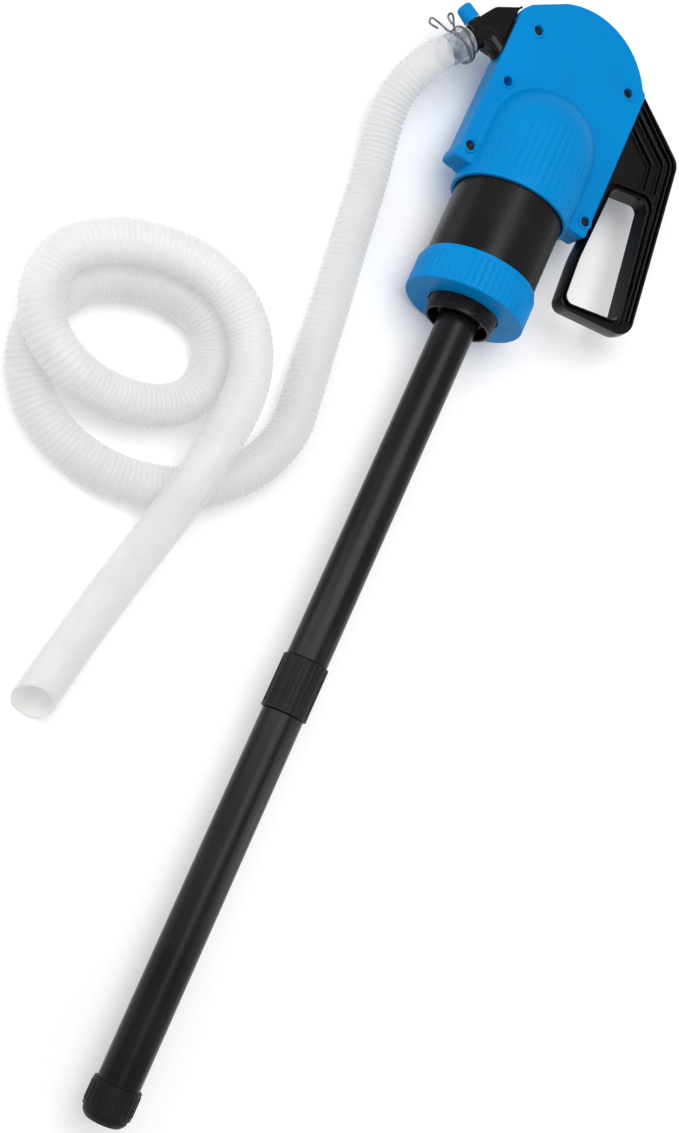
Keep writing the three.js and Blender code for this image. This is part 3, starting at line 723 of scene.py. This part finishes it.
# ---------- collar, nipple and inlet
def make_collar():
    """The ring round the barrel's foot."""
    lip = COLLAR_HEIGHT - 0.005
    edge = 0.0015
    steps = 8
    side = [(REST_RADIUS, edge + 0.0002 + (lip - 0.0008 - edge) * i / steps) for i in range(steps + 1)]
    bore = BARREL_RADIUS + 0.0004
    profile = [
        (COLLAR_BORE, 0.0), *arc(REST_RADIUS - edge, edge, edge, -pi / 2, 0, 5), *side,
        (REST_RADIUS - 0.0003, lip - 0.0002), (REST_RADIUS - 0.0015, lip),
        (REST_RADIUS - 0.0016, lip + 0.0020), (REST_RADIUS - 0.0018, COLLAR_HEIGHT - 0.0006),
        (REST_RADIUS - 0.0024, COLLAR_HEIGHT), (bore + 0.0003, COLLAR_HEIGHT),
        (bore, COLLAR_HEIGHT - 0.0005), (bore, 0.005), (COLLAR_BORE, 0.005),
    ]

    def grip(angle, radius, y):
        """Narrow grooves between the ribs, fading out over the lower edge."""
        if not 0.0002 < y < lip - 0.0001 or radius < BARREL_RADIUS + 0.002:
            return radius
        share = angle * COLLAR_RIBS / (2 * pi) % 1
        groove = max(0.0, 1 - abs(share - 0.5) / 0.17)
        fade = min(1.0, y / 0.0012)
        return radius - 0.0006 * groove ** 0.7 * fade

    mesh = lathe(profile, COLLAR_RIBS * 12, grip)
    finished("grip_collar", mesh, BLUE, ["collar"])


def make_nipple():
    """The nipple that screws into the drum's bung."""
    rows = 60
    thread_from = NIPPLE_END + 0.0030
    thread_to = 0.005
    depth = 0.0010
    flange = 0.046
    climb = [(NIPPLE_RADIUS, thread_from + (thread_to - thread_from) * i / rows) for i in range(rows + 1)]
    profile = [
        (NIPPLE_BORE, NIPPLE_END + 0.0006), (NIPPLE_BORE + 0.0006, NIPPLE_END),
        (NIPPLE_RADIUS - 0.0018, NIPPLE_END), (NIPPLE_RADIUS - 0.0010, NIPPLE_END + 0.0006),
        (NIPPLE_RADIUS - 0.0009, thread_from - 0.0002), *climb, (0.0300, thread_to + GAP),
        (flange, thread_to + GAP), (flange, 0.0093), (NIPPLE_BORE, 0.0093),
    ]

    def thread(angle, radius, y):
        """A helical ridge that grows out of the plain band at the nipple's end."""
        if radius != NIPPLE_RADIUS:
            return radius
        share = (y / THREAD_PITCH + angle / (2 * pi)) % 1
        ridge = 1 - abs(2 * share - 1)
        run_in = min(1.0, max(0.0, (y - thread_from) / 0.0016))
        return radius - depth + depth * min(1.0, ridge * 1.35) * run_in

    mesh = lathe(profile, 120, thread)
    finished("threaded_nipple", mesh, BLACK, ["bung_nipple"])


def make_inlet():
    """The suction tube's socket, with the cage over the inlet valve."""
    socket = TUBE_RADIUS + GAP
    flange = 0.0476
    seat = 0.010
    mesh = turned([
        (socket, -0.006, 0.0005), (0.021, -0.006, 0.0008), (0.021, 0.0119), (flange, 0.0119),
        (flange, 0.016), (seat, 0.016), (seat, 0.0082), (socket, 0.0082),
    ])
    cage = lathe([(0.008, 0.0225), (0.0185, 0.0225), (0.0185, 0.0245), (0.008, 0.0245)])
    posts = []
    for i in range(4):
        a = (i + 0.5) * pi / 2
        foot = (0.017 * cos(a), 0, 0.017 * sin(a))
        posts.append(rod(foot, (0, 1, 0), 0.0155, 0.0235, 0.0014, segments=16))
    mesh = joined(mesh, cage, *posts)
    finished("inlet_socket", mesh, DARK, ["inlet_plate"])


# ---------- suction tubes and foot
def make_tubes():
    """Both suction tubes, which meet inside the coupling with narrow ends."""
    meet = (JOINT_TOP + JOINT_BOTTOM) / 2
    narrow = TUBE_BORE - 0.0016
    upper = [
        (narrow, meet + 0.002), (SPIGOT_RADIUS, meet + 0.002), (SPIGOT_RADIUS, JOINT_TOP + GAP),
        (TUBE_RADIUS, JOINT_TOP + GAP, 0.0005), (TUBE_RADIUS, 0.0079), (TUBE_BORE, 0.0079),
        (TUBE_BORE, JOINT_TOP + 0.006), (narrow, JOINT_TOP + 0.002),
    ]
    lower = [
        (TUBE_BORE, FOOT_TOP - 0.0082), (TUBE_RADIUS, FOOT_TOP - 0.0082),
        (TUBE_RADIUS, JOINT_BOTTOM - GAP, 0.0005), (SPIGOT_RADIUS, JOINT_BOTTOM - GAP),
        (SPIGOT_RADIUS, meet - 0.002), (narrow, meet - 0.002), (narrow, JOINT_BOTTOM - 0.002),
        (TUBE_BORE, JOINT_BOTTOM - 0.006),
    ]
    for name, corners in (("upper", upper), ("lower", lower)):
        finished(name + "_tube", turned(corners, 3, 128), BLACK, ["suction_tube_" + name])


def make_coupling():
    """The coupling between the tubes."""
    low, high = JOINT_BOTTOM, JOINT_TOP
    bore, root, crest = 0.0156, 0.0182, 0.0190
    count = 16
    width = 0.45  # of a rib, as a share of the pitch
    steps = 10
    rows = [low + 0.0008 + (high - low - 0.0016) * i / steps for i in range(steps + 1)]
    profile = [
        (bore, low), (crest - 0.0012, low), (crest - 0.0004, low + 0.0003), *((crest, y) for y in rows),
        (crest - 0.0004, high - 0.0003), (crest - 0.0012, high), (bore, high),
    ]

    def grip(angle, radius, y):
        """The ribs stand proud of the root, and the ring is full round at its ends."""
        if radius < crest:
            return radius
        share = angle * count / (2 * pi) % 1
        rise = min(1.0, max(0.0, (width / 2 - abs(share - 0.5)) * 12 + 0.5))
        ends = min(1.0, (y - low) / 0.003, (high - y) / 0.003)
        return root + (crest - root) * max(rise, 1 - ends)

    mesh = lathe(profile, count * 12, grip)
    finished("ribbed_coupling", mesh, DARK, ["tube_coupling"])


def foot_slot(x):
    """A cutter for one of the strainer's slots."""
    half, reach, end = 0.0015, 0.011, 0.0014
    corners = [(x + i * half, j * reach, end) for i, j in ((-1, -1), (1, -1), (1, 1), (-1, 1))]
    slot = slab([rounded(corners, 4)], [(0, -0.001), (0, 0.005)])
    slot.transform(Matrix.Translation((0, FOOT_END, 0)) @ Matrix.Rotation(-pi / 2, 4, "X"))
    return slot


def make_foot():
    """The strainer, with the foot valve's seat, slots in its end and fine ribs."""
    radius, neck, chamber, port = 0.0192, 0.0178, 0.0146, 0.008
    socket = TUBE_RADIUS + GAP
    floor = FOOT_END + 0.004
    seat = FOOT_END + 0.011
    mesh = turned([
        (0, FOOT_END), (0.0135, FOOT_END, 0.002), (neck, FOOT_END + 0.0045, 0.002),
        (neck, FOOT_END + 0.0075), (radius, FOOT_END + 0.0080, 0.0004), (radius, FOOT_TOP, 0.0008),
        (socket, FOOT_TOP), (socket, FOOT_TOP - 0.0085), (chamber, FOOT_TOP - 0.0085), (chamber, seat),
        (port, seat), (port, seat - 0.003), (chamber, seat - 0.003), (chamber, floor), (0, floor),
    ], 4, 128)
    slots = [foot_slot(0.007 * i) for i in range(-1, 2)]
    count = 24
    ribs = []
    for i in range(count):
        a = 2 * pi * i / count
        side = Vector((sin(a), 0, cos(a))) * radius
        ribs.append(rod(side, (0, 1, 0), FOOT_END + 0.011, FOOT_TOP - 0.003, 0.0005, 0.0004, 8))
    mesh = joined(cut(mesh, *slots), *ribs)
    finished("slotted_foot", mesh, DARK, ["foot_strainer"])


# ---------- barrel and covers
def make_barrel():
    foot = 0.0163
    mesh = turned([
        (BARREL_BORE, foot), (BARREL_RADIUS, foot, 0.0005), (BARREL_RADIUS, BARREL_TOP, 0.0005),
        (BARREL_BORE, BARREL_TOP),
    ], 3, 192)
    finished("pump_barrel", mesh, BLACK, ["barrel"])


def housing_outline(inset=0.0, open_right=False):
    """The outline of a cover, or of the hollow inside it, which is open on the lever's side."""
    cx, cy = HOUSING_TOP
    r = HOUSING_TOP_RADIUS - inset
    if open_right:
        wall_end = 0.044
        past = HOUSING_RIGHT + 0.02
        start = acos((wall_end - cx) / r)
        corners = [(HOUSING_LEFT + inset, HOUSING_BOTTOM + inset, 0.002), (past, HOUSING_BOTTOM + inset),
                   (past, cy + r + 0.01), (wall_end, cy + r + 0.01)]
    else:
        start = 0.53
        corners = [(HOUSING_LEFT, HOUSING_BOTTOM, 0.004), (HOUSING_RIGHT, HOUSING_BOTTOM, 0.004),
                   (HOUSING_RIGHT, 0.2535, 0.003)]
    corners += arc(cx, cy, r, start, 2.08, 40)
    corners += [(-0.058 + inset * 0.6, 0.2625 - inset * 0.7, 0.002),
                (HOUSING_LEFT + inset + 0.0006, 0.254 - inset * 0.4, 0.003)]
    return rounded(corners, 5)


def bulge(radius, low, rib=0.0, rim=0.0):
    """The round casing over the barrel, with its domed end and faint upright ribs."""
    steps = 14
    rows = [low + rim + (DOME_Y - low - rim) * i / steps for i in range(steps)]
    dome = arc(0, DOME_Y, radius, 0, pi / 2, 16)[:-1]
    foot = [(radius - rim, low), (radius - rim * 0.3, low + rim * 0.3)] if rim else [(radius, low)]
    profile = [(0, low), *foot, *((radius, y) for y in rows), *dome, (0, DOME_Y + radius)]

    def ribs(angle, r, y):
        """Grooves between the ribs, which end lower towards the sides."""
        if r <= 0.04:
            return r
        a = (angle + pi) % (2 * pi) - pi
        across = abs(a) if abs(a) < pi / 2 else pi - abs(a)
        top = DOME_Y + 0.014 - 0.034 * (across / 1.1) ** 2
        share = min(1.0, max(0.0, (top - y) / 0.003)) * min(1.0, max(0.0, (y - low - 0.007) / 0.003))
        share *= min(1.0, max(0.0, (1.05 - across) / 0.06))
        ridge = abs(sin(across * pi / RIB_ANGLE)) ** 0.6
        return r - rib * share * (1 - ridge)

    return lathe(profile, 640 if rib else 128, ribs if rib else None)


def blend_ring():
    """The fillet that carries the bulge into the flat face of a cover."""
    reach = REST_RADIUS + BLEND
    rise = HALF + BLEND
    foot = sqrt(reach * reach - rise * rise)
    touch = Vector((foot, rise)) * REST_RADIUS / reach
    end = atan2(touch.y - rise, touch.x - foot)
    fillet = arc(foot, rise, BLEND, -pi / 2, end - (2 * pi if end > 0 else 0), 8)
    section = [(foot, HALF - 0.0015), *fillet, (touch.x - 0.002, touch.y - 0.003), (0.047, HALF - 0.0015)]
    heights = (HOUSING_BOTTOM + 0.0002, 0.125, 0.14)
    stations = [(1, 0, y) for y in heights]
    stations += [(cos(a), sin(a), DOME_Y) for a in (pi * i / 48 for i in range(49))]
    stations += [(-1, 0, y) for y in reversed(heights)]
    verts = [(rho * cx, y + rho * cy, z) for cx, cy, y in stations for rho, z in section]
    n = len(section)
    ends = [tuple(range(n)), tuple(range(len(verts) - n, len(verts)))]
    return closed_mesh(verts, skin(len(stations), n) + ends)


def upright(x, y, profile, segments=48):
    """A profile of (radius, height) points turned about an upright line through x, y."""
    mesh = lathe(profile, segments)
    mesh.transform(Matrix.Translation((x, y, 0)) @ Matrix.Rotation(pi / 2, 4, "X"))
    return mesh


def post(x, y, radius, low, high):
    return upright(x, y, [(0, low), (radius, low), (radius, high), (0, high)])


def screw_boss(x, y):
    """The stepped ring round a screw."""
    return upright(x, y, [
        (0, INNER), (0.0074, INNER), (0.0074, HALF), (0.0067, HALF + 0.0003), (0.0063, HALF + 0.0011),
        (0.0060, BOSS_TOP - 0.0001), (0.0056, BOSS_TOP), (0, BOSS_TOP),
    ])


def recess(x, y, floor, radius, mouth):
    """A cutter for a round recess whose mouth is slightly rounded."""
    return upright(x, y, [
        (0, floor), (radius - 0.0002, floor), (radius, mouth - 0.0005), (radius + 0.0002, mouth - 0.0001),
        (radius + 0.0006, mouth + 0.001), (0, mouth + 0.001),
    ])


def hollow_cover():
    """A cover with its bulge, its side tab and its screw bosses, hollowed out."""
    edge = 0.0022
    plate = slab([housing_outline()], soft_edges(SPLIT, HALF, edge, low=False, steps=6))
    front_half = box((-0.09, 0.06, SPLIT), (0.09, 0.32, 0.08))
    casing = combined(bulge(REST_RADIUS, SKIRT, rib=0.0009, rim=0.0012), [front_half], "INTERSECT")
    tab = rounded([
        (-0.0674, 0.1075, 0.0025), (-0.060, 0.1075), (-0.060, 0.1200), (-0.0646, 0.1200),
        (-0.0674, 0.1160, 0.0015),
    ], 3)
    side_tab = slab([tab], soft_edges(SPLIT, HALF - 0.0012, edge, low=False))
    bosses = [screw_boss(x, y) for x, y in SCREWS.values()]
    cover = joined(plate, casing, blend_ring(), side_tab, *bosses)
    hollow = slab([housing_outline(WALL, True)], [(0, -0.001), (0, INNER)])
    return cut(cover, hollow, bulge(REST_RADIUS - WALL, SKIRT - 0.001))


def make_cover(front):
    """The front cover, or its mirror image behind. Only the front one has counterbores and a pocket."""
    kept = [post(x, y, 0.005, SPLIT, INNER + 0.001) for x, y in SCREWS.values() if (x, y) != FULCRUM]
    spout_window = box((-0.070, 0.2125, -0.001), (-0.058, 0.2425, 0.0093))
    tools = [spout_window]
    for x, y in SCREWS.values():
        if front:
            tools.append(recess(x, y, HALF - 0.0025, 0.0042, BOSS_TOP))
        tools.append(post(x, y, 0.0023, -0.001, HALF - 0.001))
    if front:
        rim = HALF + 0.0007
        kept.append(upright(*POCKET, [(0, 0.001), (0.0062, 0.001), (0.0062, HALF), (0.0058, rim - 0.0001),
                                      (0.0054, rim), (0, rim)]))
        tools.append(recess(*POCKET, 0.0025, 0.0040, rim))
        kept.append(upright(*GATE_MARK, [(0, HALF - 0.001), (0.0009, HALF - 0.001),
                                         (0.0007, HALF + 0.0002), (0, HALF + 0.00025)], 20))
    cover = cut(joined(hollow_cover(), *kept), *tools)
    name = "front_cover" if front else "rear_cover"
    if not front:
        cover.transform(Matrix.Diagonal((1, 1, -1, 1)))
        cover.flip_normals()
    finished(name + "_moulding", cover, BLUE, [name])


def make_screws():
    """The cover screws, with hexagon sockets."""
    top = HALF - 0.0004
    under = HALF - 0.0022
    hexagon = 0.0019
    for node, (x, y) in SCREWS.items():
        shank = upright(x, y, [(0, -0.0085), (0.0012, -0.0085), (0.0019, -0.0070),
                               (0.0019, under + 0.0001), (0, under + 0.0001)], 24)
        head = upright(x, y, [(0, under), (0.0037, under), (0.0037, top - 0.0009), (0.0034, top - 0.0003),
                              (0.0027, top), (0, top)])
        corners = (pi * k / 3 for k in range(6))
        socket = [(x + hexagon * cos(a), y + hexagon * sin(a)) for a in corners]
        mesh = cut(joined(shank, head), slab([socket], flared(HALF - 0.0016, top, 0.0002)))
        finished(node + "_head", mesh, SCREW_STEEL, [node])


# ---------- lever
LEVER_OUTLINE = [
    (0.054, 0.205, 0.016), (0.0708, 0.160, 0.010), (0.0704, 0.112, 0.006), (0.0693, 0.092, 0.006),
    (0.0724, 0.0446, 0.010), (0.1466, 0.0535, 0.015), (0.1252, 0.2196, 0.007), (0.1048, 0.2332, 0.012),
    (0.0600, 0.2620, 0.006), (0.043, 0.263, 0.010), (0.038, 0.240, 0.008),
]
LEVER_OPENING = [
    (0.077, 0.1648, 0.005), (0.1124, 0.1726, 0.009), (0.129, 0.0624, 0.005), (0.0766, 0.0523, 0.008),
    (0.0742, 0.093, 0.004),
]
LEVER_EDGE = [(0.0600, 0.2620), (0.104, 0.232), (0.124, 0.219), (0.1446, 0.062)]
OPENING_CHANNEL = [  # outer edge of the channel round the opening
    (0.0728, 0.1692, 0.006), (0.1168, 0.1790, 0.012), (0.1350, 0.0582, 0.008), (0.0738, 0.0474, 0.009),
    (0.0712, 0.093, 0.005),
]
# Channels that follow the lever's edge: nearer side, farther side, and the share of the first
# stretch that they leave out. Those in the arm stop at ARM_REGION, above the opening.
EDGE_CHANNELS = [(0.0016, 0.0048, 0.10), (0.0060, 0.0106, 0.12)]
ARM_CHANNELS = [(0.0130, 0.0228, 0.30), (0.0242, 0.0358, 0.45), (0.0374, 0.0540, 0.78)]
ARM_REGION = [(0.050, 0.1671), (0.140, 0.1869), (0.140, 0.280), (0.050, 0.280)]


def edge_channel(near, far, start):
    """The strip between two distances inside the lever's edge. Its bends are tighter further in."""
    lines = []
    for distance in (near, far):
        line = []
        for i, here in enumerate(LEVER_EDGE):
            before, after = LEVER_EDGE[max(i - 1, 0)], LEVER_EDGE[min(i + 1, 3)]
            ways = [Vector(b) - Vector(a) for a, b in ((before, here), (here, after)) if a != b]
            normals = [Vector((w.y, -w.x)).normalized() for w in ways]
            mitre = (normals[0] + normals[-1]).normalized()
            line.append(Vector(here) + mitre * distance / mitre.dot(normals[0]))
        line[0] = line[0].lerp(line[1], start)
        line[-1] = line[-1].lerp(line[-2], 0.03)
        upper_bend = max(0.0004, 0.004 - distance * 0.08)
        lower_bend = max(0.0004, 0.0068 - distance * 0.3)
        cuts = (0.0012, upper_bend, lower_bend, 0.0012)
        lines.append([(p.x, p.y, size) for p, size in zip(line, cuts)])
    return rounded(lines[0] + lines[1][::-1], 4)


def lever_plate():
    """The flat of the lever, with its grip opening and with channels sunk into both faces."""
    outline = rounded(LEVER_OUTLINE, 8)
    opening = rounded(LEVER_OPENING, 8)
    edge = 0.0008
    draft = 0.0008
    edges = soft_edges(-LEVER_HALF, LEVER_HALF, edge)
    stations = [(inset + draft * abs(z) / LEVER_HALF, z) for inset, z in edges]
    stations.insert(len(stations) // 2, (0, 0))
    lip = flared_lip(LEVER_HALF, edge, 1)
    cutters = [slab([opening], [(0.0015, -LEVER_HALF - 0.001), *lip])]
    arm_region = slab([ARM_REGION], [(0, -0.02), (0, 0.02)])
    for side in (1, -1):
        sunk = flared(side * WEB_HALF, side * LEVER_HALF, 0.0006)
        cutters.append(slab([rounded(OPENING_CHANNEL, 8), offset(opening, -0.0014)], sunk))
        cutters += [slab([edge_channel(*channel)], sunk) for channel in EDGE_CHANNELS]
        for channel in ARM_CHANNELS:
            strip = slab([edge_channel(*channel)], sunk)
            cutters.append(combined(strip, [arm_region.copy()], "INTERSECT"))
    return cut(slab([outline], stations), *cutters)


def drive_arm():
    """The short slotted arm, hidden in the housing, that moves the rod's pin."""
    x, y = FULCRUM
    reach = x / cos(SWING / 2) + 0.001
    beam = [(0, -ARM_HALF), (reach, -ARM_HALF)]
    beam += arc(reach, 0, ARM_HALF, -pi / 2, pi / 2, 12)[1:]
    beam.append((0, ARM_HALF))
    slot = arc(reach, 0, SLOT_HALF, -pi / 2, pi / 2, 10)
    slot += arc(x - 0.001, 0, SLOT_HALF, pi / 2, 3 * pi / 2, 10)
    arm = slab([beam, slot], soft_edges(-WEB_HALF, WEB_HALF, 0.0005, steps=2))
    arm.transform(Matrix.Translation((x, y, 0)) @ Matrix.Rotation(pi - SWING / 2, 4, "Z"))
    return arm


def make_lever():
    """The bell crank: plate, short arm and hub, bored for the fulcrum's bush."""
    radius, edge = 0.013, 0.0005
    hub = upright(*FULCRUM, [
        (0, -HUB_HALF), (radius - edge, -HUB_HALF), (radius, edge - HUB_HALF), (radius, HUB_HALF - edge),
        (radius - edge, HUB_HALF), (0, HUB_HALF),
    ], 64)
    lever = cut(joined(lever_plate(), drive_arm(), hub), post(*FULCRUM, 0.006, -0.02, 0.02))
    finished("ribbed_lever", lever, LEVER_BLACK, ["lever"], "lever")


# ---------- spout and vent cap
def barbed_nozzle():
    """The end that the hose slips over: a flange, then three barbs."""
    radius, flange, neck, end = 0.0094, 0.0108, 0.0104, 0.016
    profile = [(0, -0.003), (neck, -0.003), (flange, -0.0026), (flange, -0.0004), (neck, 0.0), (radius, 0.0)]
    for s in (0.003, 0.0075, 0.012):
        profile += [(radius, s - 0.0004), (0.0106, s), (0.0104, s + 0.0008), (radius, s + 0.0026)]
    profile += [(radius, end - 0.0005), (0.0088, end), (0, end)]
    return placed(lathe(profile, 72), NOZZLE, NOZZLE_DIR)


def make_spout():
    """The flat elbow beside the housing, with its round pipe, its nozzle and the stub of the vent."""
    pipe, bore, half = 0.0092, 0.0062, 0.0076
    body = rounded([
        (-0.0655, 0.2098), (-0.0655, 0.2546), (-0.0630, 0.2585, 0.001), (-0.085, 0.244, 0.003),
        (-0.0945, 0.227, 0.002), (-0.1005, 0.2145, 0.002), (-0.084, 0.2095, 0.002),
    ], 4)
    bend = Route([NOZZLE, (-0.0878, 0.2118, 0), (-0.084, 0.2172, 0), (-0.0782, 0.2206, 0),
                  (-0.072, 0.2190, 0), (-0.062, 0.2140, 0)], 10)
    rings = [(bend.length * i / 48, pipe) for i in range(49)]
    outside = box((-0.13, 0.18, -0.02), (-0.0655, 0.25, 0.02))
    elbow_pipe = combined(tube(bend, rings, 56, cap=True), [outside], "INTERSECT")
    spigot = box((-0.066, 0.213, -0.009), (-0.0545, 0.242, 0.009))
    stub = rod(VENT, VENT_DIR, -0.010, 0.009, 0.0042, 0.0005, 32)
    collar = rod(VENT, VENT_DIR, -0.010, 0.0002, 0.0072, 0.0006, 40)
    spout = joined(slab([body], soft_edges(-half, half, 0.0014)), elbow_pipe, barbed_nozzle(), spigot,
                   stub, collar)
    elbow = NOZZLE - NOZZLE_DIR * 0.016
    inward = Vector((0, DOME_Y, 0)) + OUTLET * OUTLET_REACH - elbow
    nozzle_bore = rod(elbow, NOZZLE_DIR, 0, 0.045, bore)
    inlet_bore = rod(elbow, inward.normalized(), 0, inward.length + 0.008, bore)
    duct_seat = rod((0, DOME_Y, 0), OUTLET.normalized(), 0.05, OUTLET_REACH, 0.0098)
    spout = cut(spout, nozzle_bore, inlet_bore, duct_seat)
    finished("elbow_spout", spout, LEVER_BLACK, ["spout"])


def make_vent_cap():
    """The small domed cap on the vent's stub."""
    foot, bore, ceiling, top = 0.0006, 0.0047, 0.0095, 0.0146
    profile = rounded([
        (0, top), (0.0046, top, 0.0018), (0.0067, 0.0126, 0.0018), (0.0071, 0.0030, 0.0005),
        (0.0074, foot, 0.0004), (bore, foot), (bore, ceiling), (0, ceiling),
    ], 5)

    def flutes(angle, radius, y):
        """Flutes on the cap's side, below its dome."""
        if radius < 0.0060 or y > 0.0118:
            return radius
        return radius - 0.00025 * max(0.0, cos(angle * 20)) ** 2

    mesh = placed(lathe([tuple(p) for p in profile], 160, flutes), VENT, VENT_DIR)
    finished("domed_vent_cap", mesh, BLUE, ["vent_cap"], "vent_cap")


# ---------- inner parts that keep their CAD shape
def paint_inner_parts():
    """Gives each part inside the pump its material."""
    finishes = {
        WHITE: ["piston"],
        RUBBER: ["base_gasket", "inlet_valve", "foot_valve", "piston_seal", "piston_valve", "rod_seal"],
        STEEL: ["piston_rod", "rod_pin", "fulcrum_bush"],
        DARK: ["cylinder_head", "outlet_duct"],
    }
    for material, names in finishes.items():
        for name in names:
            for material_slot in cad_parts[name].material_slots:
                material_slot.material = material


make_collar()
make_nipple()
make_inlet()
make_tubes()
make_coupling()
make_foot()
make_barrel()
make_cover(True)
make_cover(False)
make_screws()
make_lever()
make_spout()
make_vent_cap()
paint_inner_parts()
